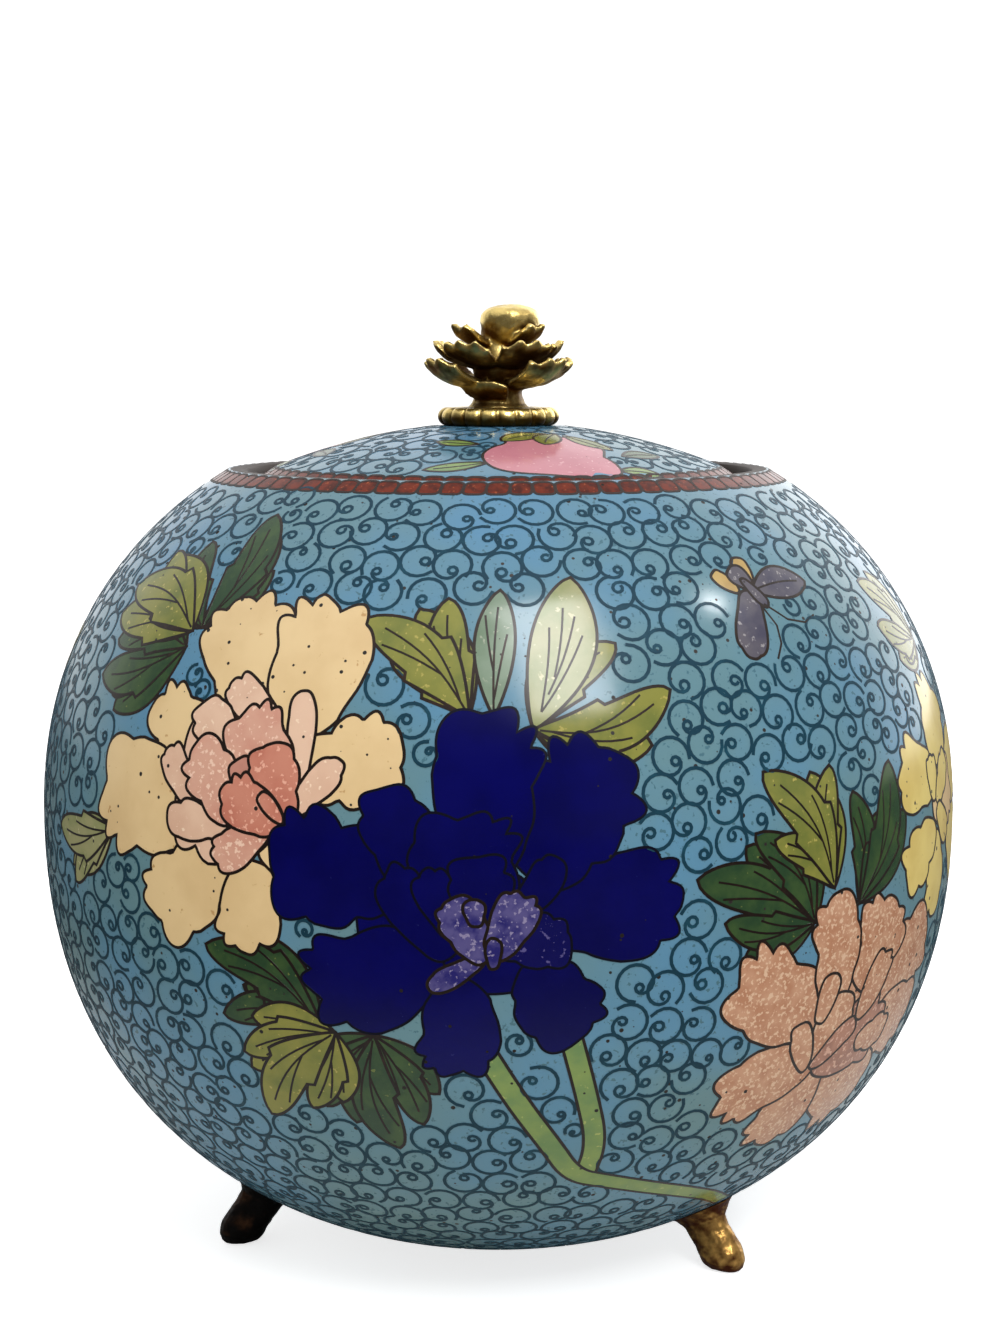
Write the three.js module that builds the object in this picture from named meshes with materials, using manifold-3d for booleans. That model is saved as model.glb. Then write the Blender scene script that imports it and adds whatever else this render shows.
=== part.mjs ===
// A round cloisonne ginger jar: a hollow body on three cast feet, a loose domed lid that drops into the
// mouth, and a cast flower knob on a lobed collar. Millimetres, +Z up, front towards -Y. The origin is on
// the ground, on the jar's axis.
import * as THREE from 'three';
import { mergeVertices } from 'three/addons/utils/BufferGeometryUtils.js';
import Module from 'manifold-3d';

const wasm = await Module();
wasm.setup();

// Body: a superellipse of turning above its widest ring and a slightly deeper one below it
const BODY_RADIUS = 58.4;
const UPPER_RISE = 51.9;
const LOWER_DROP = 55.5;
const UPPER_FULLNESS = 2.16;
const LOWER_FULLNESS = 2.23;
const BODY_WALL = 2.2;
const BASE_RADIUS = 22;
const BASE_CLEARANCE = 2.9;

// Mouth: a flat rim, and a seat inside it that carries the lid
const RIM_RADIUS = 34.5;
const RIM_WIDTH = 2.2;
const RIM_BEVEL = 0.5;
const SEAT_DEPTH = 2.7;
const SEAT_THICKNESS = 1.6;

// Lid: a shallow dome with a sloping border, and a flange that keeps it from sliding
const LID_GAP = 1.6;
const SEAT_OVERLAP = 2.2;
const LID_EDGE_HEIGHT = 1.5;
const BORDER_WIDTH = 2.3;
const BORDER_RISE = 1.5;
const DOME_RADIUS = 76;
const LID_WALL = 2;
const FLANGE_GAP = 0.5;
const FLANGE_WALL = 1.5;
const FLANGE_DEPTH = 5;

// Knob: a lobed collar, and the flower that stands on it
const COLLAR_RADIUS = 7.8;
const COLLAR_THICKNESS = 2.3;
const COLLAR_LOBES = 20;
const COLLAR_LOBE_DEPTH = 0.4;
const COLLAR_SEAT_MARGIN = 0.1;
const STEM_RADIUS = 3;
const STEM_FLARE = 1;
const FLOWER_SPREAD = 9.5;
const FLOWER_HEIGHT = 13;
const PETAL_THICKNESS = 0.9;
const PETAL_ROOT_WIDTH = 0.35;
const PETAL_CORNER_ROUNDING = 0.2;
const PETAL_SIDES_IN = 0.8;
const PETAL_SIDES_UP = 0.3;
const CRIMP_OUT = 0.035;
const CRIMP_UP = 0.02;

// Feet: short cast stubs that curve out to a rounded toe
const FOOT_CIRCLE = 32;
const FOOT_TOE_REACH = 3.1;
const FOOT_LENGTH = 6;
const FOOT_BREADTH = 4.8;
const FOOT_CAP_FLARE = 1;
const FOOT_SEAM = 0.3;
const FOOT_TURNS = { foot_right: 53, foot_left: -70, foot_back: 171 };

// How finely round shapes are divided
const TURNING_SEGMENTS = 64;
const LOWER_STEPS = 8;
const UPPER_STEPS = 7;
const INSIDE_STEPS = 4;
const DOME_STEPS = 4;
const DOME_INSIDE_STEPS = 3;
const COLLAR_SIDE_STEPS = 4;
const STEPS_PER_LOBE = 4;
const BUD_SEGMENTS = 16;
const BUD_STEPS = 6;
const STEM_SEGMENTS = 12;
const PETAL_STEPS_ALONG = 3;
const PETAL_STEPS_ACROSS = 5;
const SLOPE_STEP = 0.02;
const FOOT_SEGMENTS = 16;

const QUARTER_TURN = Math.PI / 2;
const degrees = (angle) => (angle * Math.PI) / 180;
const lerp = THREE.MathUtils.lerp;
const point = (radius, height) => new THREE.Vector2(radius, height);

// Radius and height of a superellipse at an angle from its axis, and the angle that gives a radius
const power = (share, fullness) => Math.max(share, 0) ** (2 / fullness);
const angleAtRadius = (radius, widest, fullness) => Math.asin((radius / widest) ** (fullness / 2));
const angleAtRise = (rise, highest, fullness) => Math.acos((rise / highest) ** (fullness / 2));

const baseAngle = angleAtRadius(BASE_RADIUS, BODY_RADIUS, LOWER_FULLNESS);
const bellyHeight = BASE_CLEARANCE + LOWER_DROP * power(Math.cos(baseAngle), LOWER_FULLNESS);

// A point on the body's turned surface, which lies inset inside the outer one
function lowerPoint(angle, inset = 0) {
  const radius = (BODY_RADIUS - inset) * power(Math.sin(angle), LOWER_FULLNESS);
  const height = bellyHeight - (LOWER_DROP - inset) * power(Math.cos(angle), LOWER_FULLNESS);
  return point(radius, height);
}

function upperPoint(angle, inset = 0) {
  const radius = (BODY_RADIUS - inset) * power(Math.sin(angle), UPPER_FULLNESS);
  const height = bellyHeight + (UPPER_RISE - inset) * power(Math.cos(angle), UPPER_FULLNESS);
  return point(radius, height);
}

const bellyUnderside = (radius) => lowerPoint(angleAtRadius(radius, BODY_RADIUS, LOWER_FULLNESS)).y;

// Turned points between two angles, both ends included
function arc(pointAt, from, to, steps) {
  return Array.from({ length: steps + 1 }, (_, step) => pointAt(lerp(from, to, step / steps)));
}

// A turned solid from a profile that starts and ends on the axis or closes on itself
function turned(profile, segments = TURNING_SEGMENTS) {
  return new THREE.LatheGeometry(profile, segments).rotateX(QUARTER_TURN);
}

const rimAngle = angleAtRadius(RIM_RADIUS, BODY_RADIUS, UPPER_FULLNESS);
const rimHeight = upperPoint(rimAngle).y;
const mouthRadius = RIM_RADIUS - RIM_WIDTH;
const seatHeight = rimHeight - SEAT_DEPTH;
const lidRadius = mouthRadius - LID_GAP;
const seatRadius = lidRadius - SEAT_OVERLAP;

function bodyProfile() {
  const seatUnderside = seatHeight - SEAT_THICKNESS;
  const insideBase = BASE_CLEARANCE + BODY_WALL;
  const insideTop = angleAtRise(seatUnderside - bellyHeight, UPPER_RISE - BODY_WALL, UPPER_FULLNESS);
  const insideBottom = angleAtRise(bellyHeight - insideBase, LOWER_DROP - BODY_WALL, LOWER_FULLNESS);
  return [
    point(0, BASE_CLEARANCE),
    ...arc((angle) => lowerPoint(angle), baseAngle, QUARTER_TURN, LOWER_STEPS),
    ...arc((angle) => upperPoint(angle), QUARTER_TURN, rimAngle, UPPER_STEPS).slice(1),
    point(mouthRadius + RIM_BEVEL, rimHeight),
    point(mouthRadius, rimHeight - RIM_BEVEL),
    point(mouthRadius, seatHeight),
    point(seatRadius, seatHeight),
    point(seatRadius, seatUnderside),
    ...arc((angle) => upperPoint(angle, BODY_WALL), insideTop, QUARTER_TURN, INSIDE_STEPS),
    ...arc((angle) => lowerPoint(angle, BODY_WALL), QUARTER_TURN, insideBottom, INSIDE_STEPS).slice(1),
    point(0, insideBase),
  ];
}

const borderInner = lidRadius - BORDER_WIDTH;
const borderTop = seatHeight + LID_EDGE_HEIGHT + BORDER_RISE;
const domeCentre = borderTop - Math.sqrt(DOME_RADIUS ** 2 - borderInner ** 2);
const collarSeatRadius = COLLAR_RADIUS + COLLAR_SEAT_MARGIN;
const domeHeight = (radius, inset = 0) => domeCentre + Math.sqrt((DOME_RADIUS - inset) ** 2 - radius ** 2);
const collarSeatHeight = domeHeight(collarSeatRadius);

function lidProfile() {
  const flangeOuter = seatRadius - FLANGE_GAP;
  const flangeInner = flangeOuter - FLANGE_WALL;
  const dome = (radius, inset) => point(radius, domeHeight(radius, inset));
  return [
    point(0, domeHeight(0, LID_WALL)),
    ...arc((radius) => dome(radius, LID_WALL), flangeInner / DOME_INSIDE_STEPS, flangeInner, DOME_INSIDE_STEPS - 1),
    point(flangeInner, seatHeight - FLANGE_DEPTH),
    point(flangeOuter, seatHeight - FLANGE_DEPTH),
    point(flangeOuter, seatHeight),
    point(lidRadius, seatHeight),
    point(lidRadius, seatHeight + LID_EDGE_HEIGHT),
    ...arc((radius) => dome(radius, 0), borderInner, collarSeatRadius, DOME_STEPS),
    point(0, collarSeatHeight),
  ];
}

// The collar's side bulges between its flat faces, and narrow grooves part it into lobes
function collarGeometry() {
  const half = COLLAR_THICKNESS / 2;
  const flat = COLLAR_RADIUS - half;
  const bulge = arc(
    (angle) => point(flat + half * Math.cos(angle), half + half * Math.sin(angle)),
    -QUARTER_TURN,
    QUARTER_TURN,
    COLLAR_SIDE_STEPS,
  );
  const profile = [point(0, 0), ...bulge, point(0, COLLAR_THICKNESS)];
  const geometry = turned(profile, COLLAR_LOBES * STEPS_PER_LOBE);
  const places = geometry.attributes.position;
  for (let index = 0; index < places.count; index += 1) {
    const x = places.getX(index);
    const y = places.getY(index);
    const radius = Math.hypot(x, y);
    const groove = 1 - Math.abs(Math.sin((Math.atan2(y, x) * COLLAR_LOBES) / 2));
    const nearRim = THREE.MathUtils.smoothstep(radius, flat - half, COLLAR_RADIUS);
    const drawnIn = 1 - (COLLAR_LOBE_DEPTH / COLLAR_RADIUS) * groove * nearRim;
    places.setXY(index, x * drawnIn, y * drawnIn);
  }
  return geometry;
}

// A closed solid from rings of equal count, stacked along the piece, with a fan over each end
function lofted(rings) {
  const count = rings[0].length;
  const places = rings.flat();
  const faces = [];
  for (let ring = 0; ring < rings.length - 1; ring += 1) {
    for (let step = 0; step < count; step += 1) {
      const next = (step + 1) % count;
      const [a, b] = [ring * count + step, ring * count + next];
      faces.push(a, b, b + count, a, b + count, a + count);
    }
  }
  const middle = (ring) => ring.reduce((sum, place) => sum.add(place), new THREE.Vector3()).divideScalar(count);
  places.push(middle(rings[0]), middle(rings.at(-1)));
  const [bottom, top] = [places.length - 2, places.length - 1];
  const last = (rings.length - 1) * count;
  for (let step = 0; step < count; step += 1) {
    const next = (step + 1) % count;
    faces.push(bottom, next, step, top, last + step, last + next);
  }
  const geometry = new THREE.BufferGeometry().setFromPoints(places);
  geometry.setIndex(faces);
  return geometry;
}

// A petal is a cupped fan: it leaves the stem outwards, widens, turns up, and its sides and crimped edge rise.
// Its reaches are shares of the flower's spread, and its heights are shares of the flower's height.
function petalGeometry({ turn, root, tip, breadth, cup, crimps = 0 }) {
  const half = PETAL_THICKNESS / 2;
  const middle = (along, across) => {
    const swing = along * (1 - PETAL_CORNER_ROUNDING * Math.abs(across) ** 3) * QUARTER_TURN;
    const fan = lerp(PETAL_ROOT_WIDTH, 1, Math.sin(along * QUARTER_TURN));
    const side = across * fan * (breadth * FLOWER_SPREAD) / 2;
    const wave = crimps ? Math.cos(across * Math.PI * crimps) * along ** 4 : 0;
    const lift = cup * across ** 2;
    const reach = lerp(root[0], tip[0], Math.sin(swing)) - lift * PETAL_SIDES_IN + wave * CRIMP_OUT;
    const height = lerp(root[1], tip[1], 1 - Math.cos(swing)) + lift * PETAL_SIDES_UP + wave * CRIMP_UP;
    return new THREE.Vector3(side, -reach * FLOWER_SPREAD, height * FLOWER_HEIGHT);
  };
  const normal = (along, across) => {
    const down = middle(along + SLOPE_STEP, across).sub(middle(along - SLOPE_STEP, across));
    const side = middle(along, across + SLOPE_STEP).sub(middle(along, across - SLOPE_STEP));
    return side.cross(down).normalize();
  };
  const rings = Array.from({ length: PETAL_STEPS_ALONG + 1 }, (_, row) => {
    const along = row / PETAL_STEPS_ALONG;
    const line = Array.from({ length: PETAL_STEPS_ACROSS + 1 }, (_, column) => {
      const across = lerp(-1, 1, column / PETAL_STEPS_ACROSS);
      return { place: middle(along, across), out: normal(along, across) };
    });
    const above = line.map(({ place, out }) => place.clone().addScaledVector(out, half));
    const below = line.map(({ place, out }) => place.clone().addScaledVector(out, -half));
    return [...above, ...below.reverse()];
  });
  return lofted(rings).rotateZ(degrees(turn));
}

// Petals by whorl from the lowest to the highest, each at its own turn from the front
const whorl = (turns, shape) => turns.map((turn) => ({ turn, ...shape }));
const PETALS = [
  ...whorl([-62, 50, 112, 174, -122], { root: [0.2, 0.2], tip: [0.96, 0.47], breadth: 0.78, cup: 0.12, crimps: 3 }),
  ...whorl([-36, 30, 88, 146, -154, -98], { root: [0.16, 0.4], tip: [0.8, 0.64], breadth: 0.72, cup: 0.08, crimps: 2 }),
  ...whorl([-62, 56, 168], { root: [0.1, 0.6], tip: [0.6, 0.8], breadth: 0.5, cup: 0.08, crimps: 2 }),
  { turn: -24, root: [0.12, 0.08], tip: [0.5, 0.26], breadth: 0.66, cup: 0.05 },
];

// The stem flares where it stands and narrows again under the bud, which leans a little to the right
const BUD_PLACE = { across: 0.16, height: 0.84 };
const BUD_RADIUS_SHARE = 0.4;
const BUD_FLATTENING = 0.48;
const BUD_FULLNESS = 2.6;
const STEM_SECTIONS = [
  { radius: STEM_RADIUS + STEM_FLARE, height: 0, shift: 0 },
  { radius: STEM_RADIUS + STEM_FLARE / 3, height: 0.07, shift: 0 },
  { radius: STEM_RADIUS, height: 0.16, shift: 0 },
  { radius: STEM_RADIUS * 1.1, height: 0.34, shift: 0 },
  { radius: STEM_RADIUS * 0.75, height: BUD_PLACE.height, shift: BUD_PLACE.across * FLOWER_SPREAD },
];

function stemGeometry() {
  const rings = STEM_SECTIONS.map(({ radius, height, shift }) => Array.from({ length: STEM_SEGMENTS }, (_, step) => {
    const angle = (step / STEM_SEGMENTS) * 2 * Math.PI;
    return new THREE.Vector3(shift + radius * Math.cos(angle), radius * Math.sin(angle), height * FLOWER_HEIGHT);
  }));
  return lofted(rings);
}

function budGeometry() {
  const radius = BUD_RADIUS_SHARE * FLOWER_SPREAD;
  const upper = FLOWER_HEIGHT * (1 - BUD_PLACE.height);
  const lower = radius * BUD_FLATTENING * 2;
  const flattop = (angle) => {
    const reach = radius * power(Math.abs(Math.sin(angle)), BUD_FULLNESS);
    const rise = angle < QUARTER_TURN ? -lower * Math.cos(angle) : upper * power(-Math.cos(angle), BUD_FULLNESS);
    return point(reach, rise);
  };
  const side = arc(flattop, 0, Math.PI, BUD_STEPS * 2).slice(1, -1);
  const profile = [point(0, -lower), ...side, point(0, upper)];
  return turned(profile, BUD_SEGMENTS)
    .translate(BUD_PLACE.across * FLOWER_SPREAD, 0, BUD_PLACE.height * FLOWER_HEIGHT);
}

// Closed geometry to a solid that can be joined, and back again
function solid(geometry) {
  const bare = new THREE.BufferGeometry();
  bare.setAttribute('position', geometry.attributes.position.clone());
  if (geometry.index) bare.setIndex(geometry.index.clone());
  const merged = mergeVertices(bare, 1e-4);
  const numbers = { numProp: 3, vertProperties: merged.attributes.position.array, triVerts: merged.index.array };
  return new wasm.Manifold(new wasm.Mesh(numbers));
}

function geometryOf(joined) {
  const { numProp, vertProperties, triVerts } = joined.getMesh();
  const geometry = new THREE.BufferGeometry();
  geometry.setAttribute('position', new THREE.BufferAttribute(vertProperties, numProp));
  geometry.setIndex(new THREE.BufferAttribute(triVerts, 1));
  return geometry;
}

function flowerGeometry() {
  const pieces = [stemGeometry(), budGeometry(), ...PETALS.map(petalGeometry)];
  return geometryOf(pieces.map(solid).reduce((whole, piece) => whole.add(piece)));
}

// A foot's sections, from the flat sole up to the belly. Each is a share of the height under the belly, how far
// its middle has swung out towards the toe, and its length and breadth as shares of the foot's own.
const FOOT_SECTIONS = [
  { rise: 0, swing: 1, length: 0.82, breadth: 0.62 },
  { rise: 0.09, swing: 1, length: 0.96, breadth: 0.9 },
  { rise: 0.24, swing: 0.92, length: 1, breadth: 1 },
  { rise: 0.45, swing: 0.58, length: 0.96, breadth: 0.98 },
  { rise: 0.68, swing: 0.22, length: 0.95, breadth: 0.94 },
  { rise: 0.88, swing: 0.03, length: 1, breadth: 1 },
];

function footGeometry() {
  const section = ({ rise, swing, length, breadth }, flare = 0) => {
    const middle = FOOT_CIRCLE + swing * FOOT_TOE_REACH;
    return Array.from({ length: FOOT_SEGMENTS }, (_, step) => {
      const angle = (step / FOOT_SEGMENTS) * 2 * Math.PI;
      const out = middle + ((length * FOOT_LENGTH) / 2 + flare) * Math.cos(angle);
      const side = ((breadth * FOOT_BREADTH) / 2 + flare) * Math.sin(angle);
      const ceiling = bellyUnderside(Math.hypot(out, side)) - FOOT_SEAM;
      return new THREE.Vector3(out, side, rise * ceiling);
    });
  };
  const cap = { rise: 1, swing: 0, length: 1, breadth: 1 };
  return lofted([...FOOT_SECTIONS.map((shape) => section(shape)), section(cap, FOOT_CAP_FLARE)]);
}

const enamel = new THREE.MeshStandardMaterial({ color: 0x5f98bd, roughness: 0.22, metalness: 0.1 });
const gilt = new THREE.MeshStandardMaterial({ color: 0xb08a3c, roughness: 0.35, metalness: 1 });
const agedBrass = new THREE.MeshStandardMaterial({ color: 0x6b4a22, roughness: 0.5, metalness: 1 });

function part(name, geometry, material) {
  const mesh = new THREE.Mesh(geometry, material);
  mesh.name = name;
  return mesh;
}

const group = new THREE.Group();
group.add(part('jar_body', turned(bodyProfile()), enamel));

const cover = new THREE.Group();
cover.add(part('lid', turned(lidProfile()), enamel));
const collar = part('finial_collar', collarGeometry(), gilt);
collar.position.z = collarSeatHeight;
const flower = part('finial_flower', flowerGeometry(), gilt);
flower.position.z = collarSeatHeight + COLLAR_THICKNESS;
cover.add(collar, flower);
group.add(cover);

for (const [name, turn] of Object.entries(FOOT_TURNS)) {
  const foot = part(name, footGeometry(), agedBrass);
  foot.rotation.z = degrees(turn - 90);
  group.add(foot);
}

export default group;
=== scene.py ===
# %% [markdown]
# # A round cloisonne ginger jar
# Cloisonne is glass enamel in fences of wire. A copper jar is spun, thin flat wires are bent and glued on
# edge all over it, the cells between them are filled with coloured glass paste, and after several firings
# the whole skin is ground flush and polished. So the jar is one smooth form, and all the drawing on it is
# made of cells. This lesson builds the smooth form first, then cuts the picture into cells that lie flush
# in it, then bends some sixteen hundred scroll wires round it, and ends with the cast knob, the cast feet
# and the light.

# %% Load the frame
import math

import bpy
import numpy as np
from mathutils import Matrix, Vector, geometry, kdtree, noise


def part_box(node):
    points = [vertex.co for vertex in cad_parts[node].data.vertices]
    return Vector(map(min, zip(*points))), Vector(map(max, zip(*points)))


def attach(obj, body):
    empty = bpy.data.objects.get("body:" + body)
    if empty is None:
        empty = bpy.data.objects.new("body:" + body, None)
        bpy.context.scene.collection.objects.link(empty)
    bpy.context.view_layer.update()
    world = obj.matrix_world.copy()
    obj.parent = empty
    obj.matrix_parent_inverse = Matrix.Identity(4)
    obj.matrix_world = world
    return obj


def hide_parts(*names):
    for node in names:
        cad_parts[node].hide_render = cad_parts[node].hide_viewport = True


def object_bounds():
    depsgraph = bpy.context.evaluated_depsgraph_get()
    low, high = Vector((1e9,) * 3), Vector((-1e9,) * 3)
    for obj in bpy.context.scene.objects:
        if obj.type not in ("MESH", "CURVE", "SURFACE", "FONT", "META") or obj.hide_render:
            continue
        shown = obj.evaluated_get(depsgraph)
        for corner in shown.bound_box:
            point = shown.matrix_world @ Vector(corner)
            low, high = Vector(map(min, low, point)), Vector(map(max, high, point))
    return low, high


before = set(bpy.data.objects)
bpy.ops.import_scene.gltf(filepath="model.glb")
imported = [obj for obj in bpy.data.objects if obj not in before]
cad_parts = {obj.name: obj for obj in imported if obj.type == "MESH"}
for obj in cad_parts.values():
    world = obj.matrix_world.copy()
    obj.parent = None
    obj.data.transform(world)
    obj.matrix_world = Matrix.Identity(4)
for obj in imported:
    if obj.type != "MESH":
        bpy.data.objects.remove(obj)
cad_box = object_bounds()
bpy.ops.object.select_all(action="DESELECT")
MM = 0.001
rng = np.random.default_rng(7)
box_size = cad_box[1] - cad_box[0]
print("frame loaded:", len(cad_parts), "nodes, box", [round(side / MM, 1) for side in box_size])

# %% [markdown]
# ## Camera
# The jar is seen from a little above its belly, quite close, so its far rim drops away and the lid shows as
# a thin crescent. A longer lens from farther off would give the same size but a flatter lid, so the
# distance is set first and the lens follows from it.

# %% Camera
CAMERA_PLACE = (0.0002, -0.299, 0.1129)
CAMERA_DROP = math.radians(7.59)
CAMERA_LENS = 62.67
LONG_SIDE_OF_SENSOR = 36

camera_data = bpy.data.cameras.new("camera")
camera_data.lens = CAMERA_LENS
camera_data.sensor_width = LONG_SIDE_OF_SENSOR
camera = bpy.data.objects.new("camera", camera_data)
camera.location = CAMERA_PLACE
camera.rotation_euler = (math.pi / 2 - CAMERA_DROP, 0, 0)
bpy.context.collection.objects.link(camera)
bpy.context.scene.camera = camera
bpy.context.scene.view_settings.view_transform = "Standard"
print("camera", CAMERA_PLACE)

# %% [markdown]
# ## The turned outline
# A jar like this is spun from sheet copper, so one curve says its whole shape: two quarter superellipses
# that meet at the belly. The picture needs a second reading of the same curve. A chart is laid on the
# surface, with u across, the way round in mm at the belly, and v up, the length along the curve above the
# belly. The seam of the chart is behind. Everything drawn on the jar is placed by u and v and then bent
# onto the curve.

# %% The outline as a formula
body_low, body_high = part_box("jar_body")
BELLY = body_high.x / MM
BASE_HEIGHT = body_low.z / MM
RIM_HEIGHT = body_high.z / MM
UPPER_RISE = 51.9
LOWER_DROP = 55.5
UPPER_FULLNESS = 2.16
LOWER_FULLNESS = 2.23
RIM_RADIUS = 34.5
BASE_RADIUS = 22.0
base_angle = math.asin((BASE_RADIUS / BELLY) ** (LOWER_FULLNESS / 2))
BELLY_HEIGHT = BASE_HEIGHT + LOWER_DROP * math.cos(base_angle) ** (2 / LOWER_FULLNESS)


def signed_power(values, exponent):
    """Values raised to a power, with their signs kept."""
    return np.sign(values) * np.abs(values) ** exponent


def outline_at(angle, inset=0.0):
    """Radius and height in mm of the turned outline, at an angle from the axis above to the axis below."""
    upper = np.cos(angle) > 0
    fullness = np.where(upper, UPPER_FULLNESS, LOWER_FULLNESS)
    reach = np.where(upper, UPPER_RISE, LOWER_DROP) - inset
    sine = np.clip(np.sin(angle), 0, 1)
    radius = (BELLY - inset) * sine ** (2 / fullness)
    height = BELLY_HEIGHT + reach * signed_power(np.cos(angle), 2 / fullness)
    return radius, height


print("belly radius", round(BELLY, 2), "at", round(BELLY_HEIGHT, 2), "mm, rim at", round(RIM_HEIGHT, 2), "mm")

# %% The chart on the jar
FINE_STEPS = 8001
NEAR_AXIS = 0.001
fine_angles = np.linspace(NEAR_AXIS, math.pi - NEAR_AXIS, FINE_STEPS)
fine_radius, fine_height = outline_at(fine_angles)
run = np.hypot(np.diff(fine_radius), np.diff(fine_height))
run = np.concatenate([[0], np.cumsum(run)])
belly_run = np.interp(math.pi / 2, fine_angles, run)
chart_rise = (belly_run - run)[::-1]
chart_radius = fine_radius[::-1]
chart_height = fine_height[::-1]
chart_out = np.gradient(chart_height, chart_rise)
chart_up = -np.gradient(chart_radius, chart_rise)
BODY_TOP = float(np.interp(RIM_HEIGHT, chart_height, chart_rise))
BODY_FOOT = float(np.interp(BASE_HEIGHT, chart_height, chart_rise))


def radius_at(v):
    """The jar's radius in mm at a chart height v."""
    return np.interp(v, chart_rise, chart_radius)


def body_place(points):
    """Places in mm and outward directions on the jar, for chart points (u, v)."""
    u, v = points.T
    around = u / BELLY
    radius = radius_at(v)
    out = np.interp(v, chart_rise, chart_out)
    up = np.interp(v, chart_rise, chart_up)
    size = np.hypot(out, up)
    side, front = np.sin(around), -np.cos(around)
    place = np.column_stack([radius * side, radius * front, np.interp(v, chart_rise, chart_height)])
    return place, np.column_stack([side * out, front * out, up]) / size[:, None]


print("chart runs from v", round(BODY_FOOT, 1), "at the base to", round(BODY_TOP, 1), "at the rim")

# %% [markdown]
# ## The body
# The real body is one spun shell with a rim, a seat for the lid and enamel inside as well, because enamel
# on one side alone would pull the copper out of shape. It could be a sphere pushed into shape, but a half
# outline that is spun round the axis gives the true wall, the seat and the hollow in one closed solid. The
# outer skin lies a hair deeper than the chart, so that the cells of the picture can lie flush on it.

# %% Spinning a half outline
SKIN_DEPTH = 0.015
SPIN_STEPS = 256
SAME_PLACE = 1e-6


def select_only(piece):
    """Makes one piece the active and only selected one, as a click on it would."""
    bpy.ops.object.select_all(action="DESELECT")
    bpy.context.view_layer.objects.active = piece
    piece.select_set(True)


def new_piece(name, places, faces, edges=()):
    """A piece from places in mm. Its object stays at the origin, so the places are the jar's own."""
    mesh = bpy.data.meshes.new(name)
    mesh.from_pydata((np.asarray(places, float) * MM).tolist(), list(edges), faces, shade_flat=False)
    mesh.update()
    piece = bpy.data.objects.new(name, mesh)
    bpy.context.collection.objects.link(piece)
    return piece


def spun(name, half_outline, steps=SPIN_STEPS):
    """Spins a half outline of (radius, height) in mm once round the axis and closes it into a solid."""
    places = [(radius, 0, height) for radius, height in half_outline]
    chain = [(step, step + 1) for step in range(len(places) - 1)]
    piece = new_piece(name, places, [], chain)
    select_only(piece)
    bpy.ops.object.mode_set(mode="EDIT")
    bpy.ops.mesh.select_all(action="SELECT")
    bpy.ops.mesh.spin(steps=steps, angle=2 * math.pi, center=(0, 0, 0), axis=(0, 0, 1))
    bpy.ops.mesh.select_all(action="SELECT")
    bpy.ops.mesh.remove_doubles(threshold=SAME_PLACE)
    bpy.ops.mesh.normals_make_consistent(inside=False)
    bpy.ops.object.mode_set(mode="OBJECT")
    return piece


print("spin ready, skin", SKIN_DEPTH, "mm under the chart")

# %% The body's half outline
RIM_WIDTH = 2.2
RIM_BEVEL = 0.5
RIM_BEVEL_ROUNDING = 0.3
RIM_EDGE = 0.25
SEAT_DEPTH = 2.7
SEAT_THICKNESS = 1.6
BODY_WALL = 2.2
SEAT_RADIUS = 28.5
LOWER_STEPS = 52
UPPER_STEPS = 46
INSIDE_STEPS = 24
MOUTH_RADIUS = RIM_RADIUS - RIM_WIDTH
SEAT_HEIGHT = RIM_HEIGHT - SEAT_DEPTH


def angle_at_height(height, inset=0.0):
    """The outline's angle at a height, for the skin or for a surface inset from it."""
    _, heights = outline_at(fine_angles, inset)
    return float(np.interp(-height, -heights, fine_angles))


def stretch(start, end, steps, inset):
    """Points of the outline between two of its angles."""
    radius, height = outline_at(np.linspace(start, end, steps + 1), inset)
    return list(zip(radius, height))


rim_angle = angle_at_height(RIM_HEIGHT)
foot_angle = angle_at_height(BASE_HEIGHT)
inside_top = angle_at_height(SEAT_HEIGHT - SEAT_THICKNESS, BODY_WALL)
inside_foot = angle_at_height(BASE_HEIGHT + BODY_WALL, BODY_WALL)
body_outline = [(0, BASE_HEIGHT)]
body_outline += stretch(foot_angle, math.pi / 2, LOWER_STEPS, SKIN_DEPTH)
body_outline += stretch(math.pi / 2, rim_angle, UPPER_STEPS, SKIN_DEPTH)[1:]
body_outline += [
    (RIM_RADIUS - RIM_EDGE, RIM_HEIGHT),
    (MOUTH_RADIUS + RIM_BEVEL, RIM_HEIGHT),
    (MOUTH_RADIUS + RIM_BEVEL * RIM_BEVEL_ROUNDING, RIM_HEIGHT - RIM_BEVEL * RIM_BEVEL_ROUNDING),
    (MOUTH_RADIUS, RIM_HEIGHT - RIM_BEVEL),
    (MOUTH_RADIUS, SEAT_HEIGHT),
    (SEAT_RADIUS, SEAT_HEIGHT),
    (SEAT_RADIUS, SEAT_HEIGHT - SEAT_THICKNESS),
]
body_outline += stretch(inside_top, inside_foot, INSIDE_STEPS, BODY_WALL)
body_outline += [(0, BASE_HEIGHT + BODY_WALL)]
jar_shell = spun("jar_shell", body_outline)
print("jar_shell:", len(jar_shell.data.polygons), "faces")

# %% [markdown]
# ## The lid
# The lid is a shallow dome with a sloping border, and a flange below that drops into the mouth. Like the
# body it is spun from its half outline. The dome's formula also gives the lid its own chart, seen from
# above in x and y.

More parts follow.
